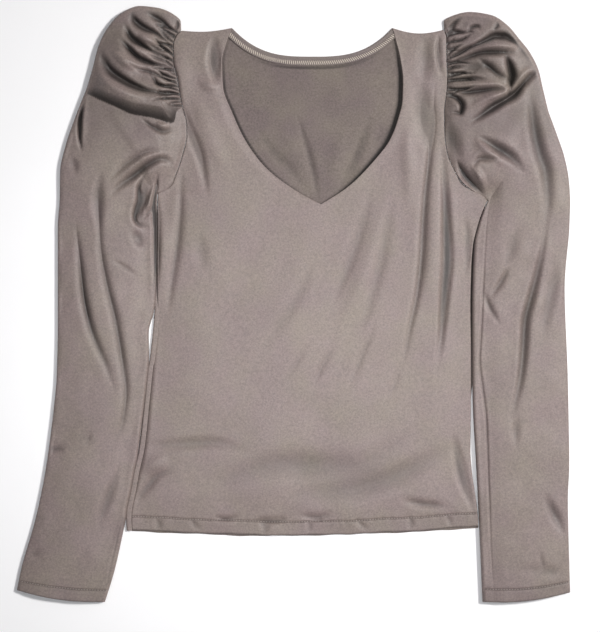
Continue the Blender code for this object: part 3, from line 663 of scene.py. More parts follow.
def front_above(armhole, neck, dip, neck_rest):
    """Places of the front between an armhole, the shoulder and the neck, whose edge rests its own way."""
    top_distance, turn = shoulder_rows()
    outer_x, outer_y = along(armhole, turn)
    inner_x, inner_y = along(neck, turn)
    width = np.hypot(inner_x - outer_x, inner_y - outer_y)
    distance = spread(width, FRONT_COLUMNS)
    across = distance / width[:, None]
    x = lerp(outer_x[:, None], inner_x[:, None], across)
    y = lerp(outer_y[:, None], inner_y[:, None], across)
    y -= dip * np.sin(math.pi * across) * ease(turn[:, None] * 3 - 2)
    shoulder = np.repeat(top_distance[:, None], across.shape[1], axis=1)
    neck_distance = width[:, None] - distance + 3 * (1 - ease(turn * 40))[:, None]
    rest = lerp(1.0, neck_rest, ease(turn * 5) * (0.4 + 0.6 * ease((1 - turn) * 6)))[:, None]
    return x, y, front_height(x, y, distance, np.full_like(x, FAR), neck_distance, shoulder, rest)


def front_height(x, y, side, hem, neck, shoulder, neck_rest):
    """The upper face of the front, from its distances to each edge."""
    inside = np.minimum(np.minimum(side, shoulder), hem)
    edge = ease(inside / 5 + 0.3) * ease(neck / 6 + 0.3)
    creases = crease_rise(FRONT_CREASES, x, y) * FRONT_CREASE_SHARE
    waves = ripples(x, y, FRONT_WAVES)
    z = FRONT_EDGE + FRONT_REST * ease(inside / FRONT_SLOPE) * lerp(neck_rest, 1.0, ease(neck / 15))
    z += creases * edge + waves * ease(inside / 14 + 0.1) * edge
    z = np.maximum(z, FRONT_EDGE - 0.9 - 0.4 * ease(inside / 30))
    z -= edge_drop(side, SIDE_ROUND) + edge_drop(shoulder, SHOULDER_ROUND) + edge_drop(neck, NECK_ROUND)
    z += hem_step(hem, HEM_SEW) - edge_drop(hem, HEM_ROUND) - HEM_GROOVE * groove(hem, HEM_SEW)
    puckers = np.sin(0.5 * x + 2 * np.sin(0.13 * x)) * np.exp(-((hem - HEM_SEW) / 5) ** 2)
    return z + PUCKER * puckers


def scoop(x):
    """The back neck's edge at x, or the shoulder's height beyond it."""
    across = np.minimum(np.abs((x - SCOOP_CENTRE) / SCOOP_HALF), 1.0)
    return NECK_TOP - SCOOP_DEPTH * (1 - across ** 3)


def back_top(x):
    """The top edge of the back, along both shoulders and the scoop."""
    right_end, left_end = RIGHT_ARMHOLE[-1], LEFT_ARMHOLE[-1]
    right_x, left_x = SCOOP_CENTRE - SCOOP_HALF, SCOOP_CENTRE + SCOOP_HALF
    right = np.clip((x - right_end.x) / (right_x - right_end.x), 0, 1)
    left = np.clip((left_end.x - x) / (left_end.x - left_x), 0, 1)
    right_y = lerp(right_end.y, NECK_TOP, right) - SHOULDER_DIP["right"] * np.sin(math.pi * right)
    left_y = lerp(left_end.y, NECK_TOP, left) - SHOULDER_DIP["left"] * np.sin(math.pi * left)
    return np.where(x < right_x, right_y, np.where(x > left_x, left_y, scoop(x)))


def below_scoop(x, depth):
    """Places some way inside the back neck's edge."""
    slope = scoop(x + 0.5) - scoop(x - 0.5)
    length = np.hypot(1, slope)
    return x + depth * slope / length, scoop(x) - depth / length


# Painted shade and shadow on the back: below the turned edge, under the front's neck edges and beside the
# arms
BACK_SHADES = laid(
    (2.2, -9.0, *zip(*below_scoop(np.linspace(-60, 101, 15), 11.6))),
    (5.0, -12.0, *LEFT_NECK),
    (2.4, -9.0, *((p.x + 2.6, p.y) for p in RIGHT_NECK)),
    (3.0, -9.0, (-150, 10), (-150, 60), (-150, 140)),
    (1.3, -7.0, *((p.x - 0.4, p.y) for p in RIGHT_FOLD[:8])),
    (4.0, -10.0, (195.5, -110), (196, 0), (198.5, 60), (206.5, 95), (218, 125)),
)


def under_right_arm(y):
    """1 where the right arm lies against the body, 0 at the gap where the surface shows between them."""
    return 1 - ease((y - GAP_LOW) / 8) * ease((GAP_HIGH - y) / 10)


def back_height(x, y, inside):
    """The middle of the back's layer: flat on the surface, a little rippled inside the neck."""
    in_neck = ease((y - 105) / 40) * ease((290 - y) / 40) * np.exp(-((x - 22) / 70) ** 4)
    unevenness = 1.1 + crease_rise(BACK_CREASES, x, y) + ripples(x, y, BACK_WAVES)
    return BACK_MIDDLE + np.maximum(unevenness, 0) * in_neck * ease(inside / 12)


def back_sheet():
    """Places of the back, from side fold to side fold."""
    _, rise = body_rows()
    _, turn = shoulder_rows()
    shares = np.linspace(0, 1, BACK_COLUMNS)
    fold_x, right_y = side_points(RIGHT_FOLD, rise, RIGHT_ARMHOLE[0].y)
    left_x, left_y = side_points(LEFT_FOLD, rise, LEFT_ARMHOLE[0].y)
    right_x = fold_x - RIGHT_REACH * under_right_arm(right_y) * ease((1 - rise) * 12)
    left_x = left_x + LEFT_REACH * ease((left_y + 105) / 25) * ease((1 - rise) * 12)
    low_x = lerp(right_x[:, None], left_x[:, None], shares)
    low_y = lerp(hem_height(shares, 1.7), chest_height(shares), rise[:, None])
    low_y -= (0.9 + 1.4 * np.exp(-((low_x - 160) / 55) ** 2)) * (1 - ease(rise * 4))[:, None]
    right_x, right_y = along(RIGHT_ARMHOLE, turn)
    left_x, left_y = along(LEFT_ARMHOLE, turn)
    high_x = lerp(right_x[:, None], left_x[:, None], shares)
    right_rise = (right_y - RIGHT_ARMHOLE[0].y) / (RIGHT_ARMHOLE[-1].y - RIGHT_ARMHOLE[0].y)
    left_rise = (left_y - LEFT_ARMHOLE[0].y) / (LEFT_ARMHOLE[-1].y - LEFT_ARMHOLE[0].y)
    climb = lerp(right_rise[:, None], left_rise[:, None], shares)
    top = back_top(lerp(RIGHT_ARMHOLE[-1].x, LEFT_ARMHOLE[-1].x, shares))
    high_y = lerp(chest_height(shares), top, climb)
    x, y = np.vstack((low_x, high_x)), np.vstack((low_y, high_y))
    return x, y, back_height(x, y, np.minimum(x - x[:, :1], x[:, -1:] - x))


def back_grid():
    """The back, whose right edge comes round the side fold to the seam with the front."""
    x, y, z = back_sheet()
    _, rise = body_rows()
    fold_x, _ = side_points(RIGHT_FOLD, rise, RIGHT_ARMHOLE[0].y)
    seam_x, _ = side_points(RIGHT_SEAM, rise, RIGHT_ARMHOLE[0].y)
    reach = np.zeros((len(x), 1))
    reach[:len(rise), 0] = np.maximum(seam_x - fold_x - 0.2, 0)
    lift = BACK_EDGE_LIFT * ease(reach / 3.0)
    angles = np.linspace(0, math.pi, 9)[1:]
    round_x = x[:, :1] - 0.5 * lift * np.sin(angles)
    round_z = z[:, :1] + 0.5 * lift * (1 - np.cos(angles))
    flat = np.linspace(0, 1, 5)[1:]
    over_x = x[:, :1] + reach * flat
    over_z = np.repeat(z[:, :1] + lift, len(flat), axis=1)
    edge_x = np.hstack((round_x, over_x))[:, ::-1] + 0.5 * lift
    edge_z = np.hstack((round_z, over_z))[:, ::-1]
    edge_y = np.repeat(y[:, :1], edge_x.shape[1], axis=1)
    main_x = x + 0.5 * lift * (1 - ease((x - x[:, :1]) / 12))
    x, y, z = np.hstack((edge_x, main_x)), np.hstack((edge_y, y)), np.hstack((edge_z, z))
    # fold: painted shade from the back's creases and from BACK_SHADES
    fold = BACK_CREASE_SHADE * crease_rise(BACK_CREASES, x, y) + crease_rise(BACK_SHADES, x, y)
    return Grid(x, y, z, x, y, fold, np.zeros_like(x))


def turning_grid():
    """The back neck's edge, folded to the inside and lying on the back."""
    depths = np.array(TURNING_STEPS)
    x_line = SCOOP_CENTRE + np.linspace(-TURNING_HALF, TURNING_HALF, TURNING_COLUMNS)
    x, y = below_scoop(x_line, depths[:, None])
    depth = np.repeat(depths[:, None], len(x_line), axis=1)
    z = (TURNING_TOP + ripples(x, y, TURNING_WAVES) - edge_drop(depth, 1.0)
         - edge_drop(TURNING_STEPS[-1] - depth, 0.6))
    z -= 0.25 * np.exp(-((depth - TURNING_SEW) / 0.5) ** 2)
    return Grid(x, y, z, x, y, np.zeros_like(x), np.zeros_like(x))


def seam_points(sleeve, share):
    """Places of the sleeve's edge along the armhole, just clear of the body's."""
    x, y = along(sleeve.armhole, share)
    before_x, before_y = along(sleeve.armhole, np.maximum(share - 0.01, 0))
    after_x, after_y = along(sleeve.armhole, np.minimum(share + 0.01, 1))
    dx, dy = after_x - before_x, after_y - before_y
    outward = SEAM_SPLIT / np.hypot(dx, dy) * (1 if sleeve.armhole[0].x > 0 else -1)
    return x + dy * outward, y - dx * outward


def head_points(sleeve, turn, share):
    """Plan places of the gathered head, turn 0 at the armhole and 1 at its last row."""
    start_x, start_y = seam_points(sleeve, share)
    end = sleeve.arm[0]
    last_x, last_y = lerp(end.inner_x, end.outer_x, share), lerp(end.inner_y, end.outer_y, share)
    row = turn * (len(sleeve.head) - 1)
    top_x, top_y = seam_points(sleeve, np.array(1.0))
    bulge = np.clip(share, 0, 1) ** FAN
    out_x = column(sleeve.head, "outer_x", row) - lerp(top_x, end.outer_x, turn)
    out_y = column(sleeve.head, "outer_y", row) - lerp(top_y, end.outer_y, turn)
    return lerp(start_x, last_x, turn) + bulge * out_x, lerp(start_y, last_y, turn) + bulge * out_y


def beside_body(sleeve, x, y):
    """The x of an arm's inner edge, kept just clear of the body's side above the hem."""
    heights = [p.y for p in sleeve.side]
    side = smooth(heights, [p.x for p in sleeve.side], np.clip(y, heights[0], heights[-1]))
    away = math.copysign(1.0, sleeve.armhole[0].x)
    return side + away * np.maximum(away * (x - side), ARM_GAP)


def arm_points(sleeve, row, share):
    """Plan places of the arm at fractional rows of its table."""
    inner_y = column(sleeve.arm, "inner_y", row)
    inner_x = beside_body(sleeve, column(sleeve.arm, "inner_x", row), inner_y)
    x = lerp(inner_x, column(sleeve.arm, "outer_x", row), share)
    y = lerp(inner_y, column(sleeve.arm, "outer_y", row), share)
    cuff = ease(row - len(sleeve.arm) + 2)
    return x, y - CUFF_DROP * np.sin(math.pi * share) * cuff


def arm_row_places(sleeve):
    """Fractional rows of the arm's table: close together at its top, then wider, then the cuff's own."""
    middle = [((a.outer_x + a.inner_x) / 2, (a.outer_y + a.inner_y) / 2) for a in sleeve.arm]
    lengths = lengths_of(middle)
    cuff = lengths[-1] - np.array(CUFF_STEPS)[::-1]
    places = np.concatenate((np.linspace(0, ARM_FINE, ARM_ROWS[0])[:-1],
                             np.linspace(ARM_FINE, cuff[0], ARM_ROWS[1])[:-1], cuff))
    rows = np.interp(places, lengths, np.arange(len(sleeve.arm)))
    return rows, lengths[-1] - places


def sleeve_top(sleeve, creases, x, y, across, crown, rounds, clear):
    """The height over the top of a sleeve, and its painted shade, at shares of its width."""
    outer_round, inner_round = rounds
    base = lerp(2 * inner_round, 2 * outer_round, across)
    dome = np.sin(math.pi * across) ** 0.8
    top = base + np.maximum(crown - base, 0) * dome * ease(across * 4)
    edges = ease(across * 14 + 0.15) * ease((1 - across) * 24 + 0.25)
    fold = crease_rise(creases, x, y) * lerp(ARM_SHARE, HEAD_SHARE, ease((y - ARM_TOP) / HEAD_BAND))
    ledge, painted_shade = ledge_rise(sleeve.ledges, x, y)
    ledge = ledge + crease_rise((sleeve.swell,), x, y)
    # painted shade, darker up over the gathered heads
    painted_shade = painted_shade - HEAD_SHADE * ease((y - SHADE_LOW) / SHADE_BAND)
    top = top + (fold + ripples(x, y, SLEEVE_WAVES)) * edges * clear
    top = top + ledge * ease(across * 8 + 0.15) * ease((1 - across) * 5.5 + 0.1) * clear
    return np.maximum(top, 2.1 + 0.6 * dome * clear), fold + painted_shade


def ring_rows(sleeve, creases, places, crown, rounds, clear, rest, cuff):
    """Rings of a sleeve: along the surface, up round the outer edge, back over the top, and down."""
    outer_round, inner_round = rounds
    inner_x, inner_y = places(np.zeros_like(crown))
    outer_x, outer_y = places(np.ones_like(crown))
    width = np.hypot(outer_x - inner_x, outer_y - inner_y)
    near, far = inner_round / width, 1 - outer_round / width
    low = near + (far - near) * np.linspace(0, 1, LOW_COLUMNS)
    outer_angle = np.linspace(-0.5, 0.5, OUTER_COLUMNS + 2)[1:-1] * math.pi
    outer = far + (1 - far) * np.cos(outer_angle)
    back = np.concatenate((np.linspace(1, 0.5, TOP_COLUMNS[0]),
                           np.linspace(0.5, 0, TOP_COLUMNS[1] + 1)[1:]))
    high = near + (far - near) * back
    inner_angle = np.linspace(0.5, -0.5, INNER_COLUMNS + 1)[1:] * math.pi
    inner = near - near * np.cos(inner_angle)
    x, y = places(np.hstack((low, outer, high, inner)))

    upper = slice(LOW_COLUMNS + OUTER_COLUMNS, -INNER_COLUMNS)
    across = np.repeat(back[None, :], len(crown), axis=0)
    top, shade = sleeve_top(sleeve, creases, x[:, upper], y[:, upper], across, crown, rounds, clear)
    low_z = 0.25 * np.sin(math.pi * np.linspace(0, 1, LOW_COLUMNS)) ** 2
    low_z = low_z * (1 + ripples(x[:, :LOW_COLUMNS], y[:, :LOW_COLUMNS], UNDERSIDE_WAVES))
    z = np.hstack((np.maximum(low_z, 0), outer_round * (1 + np.sin(outer_angle)), top,
                   inner_round * (1 + np.sin(inner_angle))))
    z = z + rest
    fold = np.zeros_like(z)
    fold[:, upper] = shade
    # the inner rim takes the painted shade of the top's edge beside it
    fold[:, -INNER_COLUMNS:] = shade[:, -1:]
    if cuff is not None:
        distance = cuff[:, None]
        z[:, upper] += (hem_step(distance, CUFF_SEW) - CUFF_GROOVE * groove(distance, CUFF_SEW)
                        - edge_drop(distance, CUFF_ROUND))
        fold[:, upper] -= hem_painted_shade(distance, CUFF_SEW)
    return x, y, z, fold


def sleeve_grid(sleeve):
    """A sleeve's rings, from the armhole to the cuff, with its knit running along it."""
    creases = sleeve.creases + gather_creases(sleeve)
    turn = (np.arange(HEAD_ROWS) / HEAD_ROWS)[:, None]
    row = turn * (len(sleeve.head) - 1)
    rounds = (RIM_SHARE * column(sleeve.head, "outer_round", row),
              lerp(HEAD_INNER_ROUND, sleeve.arm[0].inner_round, turn))
    head = ring_rows(sleeve, creases, lambda share: head_points(sleeve, turn, share),
                     column(sleeve.head, "crown", row), rounds, ease(turn * 22 + 0.35),
                     SLEEVE_REST + SEAM_REST * (1 - ease(turn * 12)), None)
    row, cuff = arm_row_places(sleeve)
    row = row[:, None]
    rounds = (RIM_SHARE * column(sleeve.arm, "outer_round", row), column(sleeve.arm, "inner_round", row))
    arm = ring_rows(sleeve, creases, lambda share: arm_points(sleeve, row, share),
                    column(sleeve.arm, "crown", row), rounds, np.ones_like(row), SLEEVE_REST, cuff)
    x, y, z, fold = (np.vstack(pair) for pair in zip(head, arm))
    steps = np.sqrt(np.diff(x, axis=1) ** 2 + np.diff(y, axis=1) ** 2 + np.diff(z, axis=1) ** 2)
    u = np.hstack((np.zeros((len(x), 1)), np.cumsum(steps, axis=1)))
    steps = np.sqrt(np.diff(x, axis=0) ** 2 + np.diff(y, axis=0) ** 2).mean(axis=1)
    v = np.repeat(np.concatenate(([0.0], np.cumsum(steps)))[:, None], x.shape[1], axis=1)
    turned = np.zeros_like(x)
    turned[-len(cuff):] = turned_up(cuff, CUFF_SEW)[:, None]
    return Grid(x, y, z, u, v, fold, turned)


def new_piece(name, mesh):
    """A smooth object of a mesh, in the scene."""
    mesh.shade_smooth()
    piece = bpy.data.objects.new(name, mesh)
    bpy.context.scene.collection.objects.link(piece)
    return piece


def cloth_piece(name, grids, offset, extra=0.0):
    """A sheet of quads through grids of places, made a wall by Solidify, thicker where turned up.

    Its upper side takes the piece's first material and its lower side the second."""
    verts, faces, uvs = [], [], []
    for grid in grids:
        start, (rows, columns) = len(verts), grid.x.shape
        verts += (np.stack((grid.x, grid.y, grid.z), axis=-1).reshape(-1, 3) * MM).tolist()
        index = start + np.arange(rows * columns).reshape(rows, columns)
        faces.append(np.stack((index[:-1, :-1], index[:-1, 1:], index[1:, 1:], index[1:, :-1]),
                              axis=-1).reshape(-1, 4))
        uvs.append(np.stack((grid.u, grid.v), axis=-1).reshape(-1, 2) * MM)
    faces, uvs = np.concatenate(faces), np.concatenate(uvs)
    mesh = bpy.data.meshes.new(name)
    mesh.from_pydata(verts, [], faces.tolist())
    layer = mesh.uv_layers.new(name="cloth")
    layer.data.foreach_set("uv", uvs[faces.ravel()].ravel())
    for field in ("fold", "turned"):
        values = np.concatenate([getattr(grid, field).ravel() for grid in grids])
        mesh.attributes.new(field, "FLOAT", "POINT").data.foreach_set("value", values)
    shape = bmesh.new()
    shape.from_mesh(mesh)
    bmesh.ops.remove_doubles(shape, verts=shape.verts, dist=MERGE * MM)
    bmesh.ops.recalc_face_normals(shape, faces=shape.faces)
    if max(shape.faces, key=lambda face: face.calc_center_median().z).normal.z < 0:
        bmesh.ops.reverse_faces(shape, faces=shape.faces)
    shape.to_mesh(mesh)
    shape.free()
    piece = new_piece(name, mesh)
    values = np.empty(len(mesh.vertices))
    mesh.attributes["turned"].data.foreach_get("value", values)
    group = piece.vertex_groups.new(name="turned")
    group.add(np.flatnonzero(values > 0.5).tolist(), 1.0, "REPLACE")
    wall = piece.modifiers.new("wall", "SOLIDIFY")
    wall.thickness = (CLOTH + extra) * MM
    wall.offset = offset
    wall.material_offset = 1
    if extra:
        wall.vertex_group = "turned"
        wall.thickness_vertex_group = CLOTH / (CLOTH + extra)
    return piece


def colour_setting(name, description, *colour):
    """A colour among the top's settings."""
    return FloatVectorProperty(name=name, description=description, subtype="COLOR", size=4, min=0, max=1,
                               default=(*colour, 1))


class TopSettings(bpy.types.PropertyGroup):
    """Sizes and colours of the top"""
    cloth: colour_setting("Cloth", "Colour of the jersey's face", 0.208, 0.159, 0.152)
    # The inside's colour is darker partly as the knit's reverse and partly as painted shade, for the back
    # seen inside the neck and the turned neck edge
    reverse: colour_setting("Reverse", "Colour of the jersey's inside", 0.150, 0.117, 0.113)
    thread: colour_setting("Thread", "Colour of the sewing thread", 0.36, 0.30, 0.28)
    overlock: colour_setting("Overlock thread", "Colour of the paler edge thread", 0.66, 0.57, 0.49)
    surface: colour_setting("Surface", "Colour of the surface below", 0.965, 0.96, 0.975)
    stitch_pitch: FloatProperty(name="Stitch pitch", description="From one hem stitch to the next",
                                unit="LENGTH", default=0.003, min=0.0015, max=0.006)
    thread_radius: FloatProperty(name="Thread radius", description="Half the thickness of the thread",
                                 unit="LENGTH", default=0.00042, min=0.0001, max=0.001)


def socket(group, name, way, kind, default=None):
    """A named input or output of a node group."""
    made = group.interface.new_socket(name=name, in_out=way, socket_type=kind)
    if default is not None:
        made.default_value = default
    return made


def math_node(tree, operation, first, second=None, third=None):
    """A Math node whose inputs are sockets or numbers."""
    node = tree.nodes.new("ShaderNodeMath")
    node.operation = operation
    for place, value in enumerate((first, second, third)):
        if value is None:
            continue
        if isinstance(value, (int, float)):
            node.inputs[place].default_value = value
        else:
            tree.links.new(value, node.inputs[place])
    return node.outputs[0]


def link_all(tree, links):
    """Links from outputs to inputs."""
    for source, target in links:
        tree.links.new(source, target)


def noise_node(tree, vector, scale, detail, roughness=0.5):
    """A Noise texture's value over the places that a socket gives."""
    node = tree.nodes.new("ShaderNodeTexNoise")
    node.inputs["Scale"].default_value = scale
    node.inputs["Detail"].default_value = detail
    node.inputs["Roughness"].default_value = roughness
    tree.links.new(vector, node.inputs["Vector"])
    return node.outputs["Fac"]


def mix_colours(tree, factor, first, second, blend="MIX"):
    """A colour Mix node whose inputs are sockets, numbers or colours."""
    node = tree.nodes.new("ShaderNodeMix")
    node.data_type = "RGBA"
    node.blend_type = blend
    for name, value in (("Factor_Float", factor), ("A_Color", first), ("B_Color", second)):
        place = next(i for i in node.inputs if i.identifier == name)
        if isinstance(value, (int, float, tuple)):
            place.default_value = value
        else:
            tree.links.new(value, place)
    return next(o for o in node.outputs if o.identifier == "Result_Color")


def jersey_group():
    """Fine knitted jersey: colour with soft mottling and painted shade in its folds, roughness, and the
    height of its knit.
    """
    group = bpy.data.node_groups.new("Jersey", "ShaderNodeTree")
    for name, kind, default in (("Knit Vector", "Vector", None), ("Surface Vector", "Vector", None),
                                ("Colour", "Color", (0.35, 0.29, 0.28, 1)), ("Mottling", "Float", 0.12),
                                ("Fold", "Float", 0.0), ("Fold Shade", "Float", 0.1),
                                ("Roughness", "Float", 0.5), ("Rib Spacing", "Float", 0.00055)):
        socket(group, name, "INPUT", "NodeSocket" + kind, default)
    for name, kind in (("Colour", "Color"), ("Roughness", "Float"), ("Height", "Float")):
        socket(group, name, "OUTPUT", "NodeSocket" + kind)
    given = group.nodes.new("NodeGroupInput")
    made = group.nodes.new("NodeGroupOutput")
    inputs = given.outputs

    def combine(operation, *terms):
        """A Math node of the group."""
        return math_node(group, operation, *terms)

    def centred(noise):
        """A noise's value, turned to lie round 0."""
        return combine("SUBTRACT", noise, 0.5)

    # The knit: ribs side by side, each crossed by the V of its stitches
    split = group.nodes.new("ShaderNodeSeparateXYZ")
    group.links.new(inputs["Knit Vector"], split.inputs[0])
    ribs = combine("DIVIDE", split.outputs["X"], inputs["Rib Spacing"])
    rows = combine("DIVIDE", split.outputs["Y"], inputs["Rib Spacing"])
    beside = combine("PINGPONG", ribs, 0.5)
    slanted = combine("MULTIPLY_ADD", beside, 1.2, combine("MULTIPLY", rows, 1.25))
    stitches = combine("SINE", combine("MULTIPLY", slanted, math.tau))
    rounded = combine("SINE", combine("MULTIPLY", beside, math.tau))
    knit = combine("MULTIPLY_ADD", stitches, 0.25, rounded)

    # The colour: broad mottling, finer clouding and single yarns, with painted shade from the fold attribute
    broad = noise_node(group, inputs["Surface Vector"], 14.0, 3.0)
    fine = noise_node(group, inputs["Surface Vector"], 130.0, 3.0, 0.6)
    yarn = noise_node(group, inputs["Surface Vector"], 480.0, 2.0, 0.9)
    tone = combine("MULTIPLY_ADD", centred(broad), 1.7, combine("MULTIPLY", centred(fine), 1.1))
    tone = combine("MULTIPLY_ADD", centred(yarn), 8.0, tone)
    tone = combine("MULTIPLY_ADD", tone, inputs["Mottling"], 1.0)
    # Painted shade: the colour darkens where the fold attribute is negative, keeping at least DARKEST of
    # itself
    painted_shade = combine("MULTIPLY", combine("MINIMUM", inputs["Fold"], 0.0), inputs["Fold Shade"])
    shade = combine("MAXIMUM", combine("ADD", painted_shade, 1.0), DARKEST)
    tone = combine("MULTIPLY", tone, shade)
    warm = noise_node(group, inputs["Surface Vector"], 22.0, 2.0)
    warm = combine("MULTIPLY_ADD", warm, 1.1, -0.4)
    tinted = mix_colours(group, warm, inputs["Colour"], WARM_TINT)
    grey = group.nodes.new("ShaderNodeCombineColor")
    for place in range(3):
        group.links.new(tone, grey.inputs[place])
    colour = mix_colours(group, 1.0, tinted, grey.outputs[0], "MULTIPLY")
    clouded = combine("MULTIPLY_ADD", centred(fine), 0.22, inputs["Roughness"])
    link_all(group, ((colour, made.inputs["Colour"]), (clouded, made.inputs["Roughness"]),
                     (combine("MULTIPLY_ADD", yarn, 0.5, knit), made.inputs["Height"])))
    return group


def new_material(name):
    """A material, its node tree, its Principled shader and its Texture Coordinate node."""
    material = bpy.data.materials.new(name)
    material.use_nodes = True
    tree = material.node_tree
    return material, tree, tree.nodes["Principled BSDF"], tree.nodes.new("ShaderNodeTexCoord")


def set_inputs(node, **values):
    """Values on a node's inputs, whose names have _ for each space."""
    for name, value in values.items():
        node.inputs[name.replace("_", " ")].default_value = value


def add_bump(tree, shader, height, strength, distance):
    """A shader's normal, bumped by a height."""
    bump = tree.nodes.new("ShaderNodeBump")
    set_inputs(bump, Strength=strength, Distance=distance)
    link_all(tree, ((height, bump.inputs["Height"]), (bump.outputs["Normal"], shader.inputs["Normal"])))


def clouded_colour(tree, shader, cloud, colour, share):
    """A shader's colour, clouded towards a darker share of itself."""
    colour = tuple(colour)
    darker = tuple(share * part for part in colour[:3]) + (1.0,)
    tree.links.new(mix_colours(tree, cloud, colour, darker), shader.inputs["Base Color"])


def jersey_material(name, colour, roughness=0.5, fold_shade=0.12, specular=0.5):
    """A jersey, with the shared knit group and its own colour, gloss, sheen and strength of painted shade in
    its folds.
    """
    group = bpy.data.node_groups.get("Jersey") or jersey_group()
    material, tree, shader, place = new_material(name)
    knit = tree.nodes.new("ShaderNodeGroup")
    knit.node_tree = group
    cloth_map = tree.nodes.new("ShaderNodeUVMap")
    cloth_map.uv_map = "cloth"
    fold = tree.nodes.new("ShaderNodeAttribute")
    fold.attribute_name = "fold"
    set_inputs(knit, Colour=tuple(colour), Roughness=roughness, Mottling=0.15, Fold_Shade=fold_shade)
    link_all(tree, ((cloth_map.outputs["UV"], knit.inputs["Knit Vector"]),
                    (place.outputs["Object"], knit.inputs["Surface Vector"]),
                    (fold.outputs["Fac"], knit.inputs["Fold"]),
                    (knit.outputs["Colour"], shader.inputs["Base Color"]),
                    (knit.outputs["Roughness"], shader.inputs["Roughness"])))
    add_bump(tree, shader, knit.outputs["Height"], 0.35, 0.00006)
    set_inputs(shader, Specular_IOR_Level=specular, Sheen_Weight=0.1, Sheen_Roughness=0.4,
               Sheen_Tint=(0.9, 0.85, 0.83, 1))
    return material


def thread_material(name, colour):
    """Spun polyester thread, with a fine twist along it."""
    material, tree, shader, place = new_material(name)
    twist = noise_node(tree, place.outputs["Object"], 1800.0, 2.0)
    clouded_colour(tree, shader, twist, colour, 0.72)
    add_bump(tree, shader, twist, 0.4, 0.0001)
    set_inputs(shader, Roughness=0.6, Sheen_Weight=0.2)
    return material


def finish_piece(piece, node, upper, lower):
    """A sheet's materials; the sheet goes under the root, and the frame's part that it stands for is hidden.
    """
    piece.data.materials.append(upper)
    piece.data.materials.append(lower)
    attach(piece, "root")
    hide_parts(node)


def even_row(grid, row, count):
    """Places along one row of a grid at even steps."""
    line = grid.x[row], grid.y[row], grid.z[row]
    length = plan_lengths(*line[:2])
    at = np.linspace(0, length[-1], count)
    return [np.interp(at, length, values) for values in line]


def plan_lengths(x, y):
    """The length seen from above from the first of some places to each."""
    return np.concatenate(([0.0], np.cumsum(np.hypot(np.diff(x), np.diff(y)))))


def stitch_pattern():
    """The places and faces of one stitch: a round drop along X, blunt at its ends and bowed down to them."""
    bpy.ops.object.select_all(action="DESELECT")
    bpy.ops.mesh.primitive_uv_sphere_add(segments=6, ring_count=6, radius=1.0, location=(0, 0, 0),
                                         rotation=(0, math.pi / 2, 0))
    pattern = bpy.context.object
    bpy.ops.object.transform_apply(location=False, rotation=True, scale=False)
    unit = np.array([tuple(vert.co) for vert in pattern.data.vertices])
    sides = [tuple(face.vertices) for face in pattern.data.polygons]
    bpy.data.objects.remove(pattern)
    blunt = np.sign(unit[:, :1]) * np.abs(unit[:, :1]) ** 0.8
    return blunt, unit[:, 1:2], unit[:, 2:] - 0.9 * unit[:, :1] ** 2, sides


def stitch_rows(name, lines, pitch, radius, material):
    """Rows of short stitches along lines of places, one piece."""
    ahead, beside, above, sides = stitch_pattern()
    verts, faces = [], []
    for x, y, z in lines:
        length = plan_lengths(x, y)
        for at in np.arange(pitch * 0.5, length[-1] - pitch * 0.49, pitch):
            ends = [np.array([np.interp(s, length, line) for line in (x, y, z)])
                    for s in (at - 0.4 * pitch, at + 0.4 * pitch)]
            middle, way = (ends[0] + ends[1]) / 2, ends[1] - ends[0]
            half = np.linalg.norm(way) / 2
            way = way / (2 * half)
            side = np.cross((0.0, 0.0, 1.0), way)
            side = side / np.linalg.norm(side)
            places = (middle + ahead * half * way + beside * radius * side
                      + above * radius * np.cross(way, side))
            faces += [tuple(i + len(verts) for i in face) for face in sides]
            verts += (places * MM).tolist()
    mesh = bpy.data.meshes.new(name)
    mesh.from_pydata(verts, [], faces)
    piece = new_piece(name, mesh)
    piece.data.materials.append(material)
    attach(piece, "root")
    return piece


def overlock_loops(upper, lower):
    """Slanting threads between the two edges of an overlock."""
    shares = np.linspace(0, 1, 5)
    loops = []
    for k in range(len(upper[0]) - 1):
        x, y, z = (lerp(above[k], below[k + 1], shares) for above, below in zip(upper, lower))
        loops.append((x, y, z + LOOP_LIFT))
    return loops


class TOP_OT_body(bpy.types.Operator):
    """The front and the back, one sheet of jersey each"""
    bl_idname = "top.body"
    bl_label = "Front and back"

    def execute(self, context):
        settings = context.scene.top_settings
        right = front_grid(RIGHT_SEAM, RIGHT_ARMHOLE, RIGHT_NECK, 0.0, SHOULDER_DIP["right"], NECK_REST[0])
        left = front_grid(LEFT_FOLD, LEFT_ARMHOLE, LEFT_NECK, 1.0, SHOULDER_DIP["left"], NECK_REST[1])
        front = cloth_piece("front_cloth", (right, left), -1.0, HEM_EXTRA)
        reverse = jersey_material("Jersey reverse", settings.reverse, 0.6, 0.12, 0.25)
        face = jersey_material("Front jersey", settings.cloth)
        finish_piece(front, "front", face, reverse)
        back = cloth_piece("back_cloth", (back_grid(),), 0.0)
        face = jersey_material("Back jersey", settings.cloth)
        finish_piece(back, "back", reverse, face)
        sew = HEM_STEPS.index(HEM_SEW)
        lines = [(grid.x[sew], grid.y[sew], grid.z[sew] + STITCH_LIFT) for grid in (right, left)]
        stitches = stitch_rows("hem_stitches", lines, settings.stitch_pitch / MM,
                               settings.thread_radius / MM, thread_material("Hem thread", settings.thread))
        return {"FINISHED"}


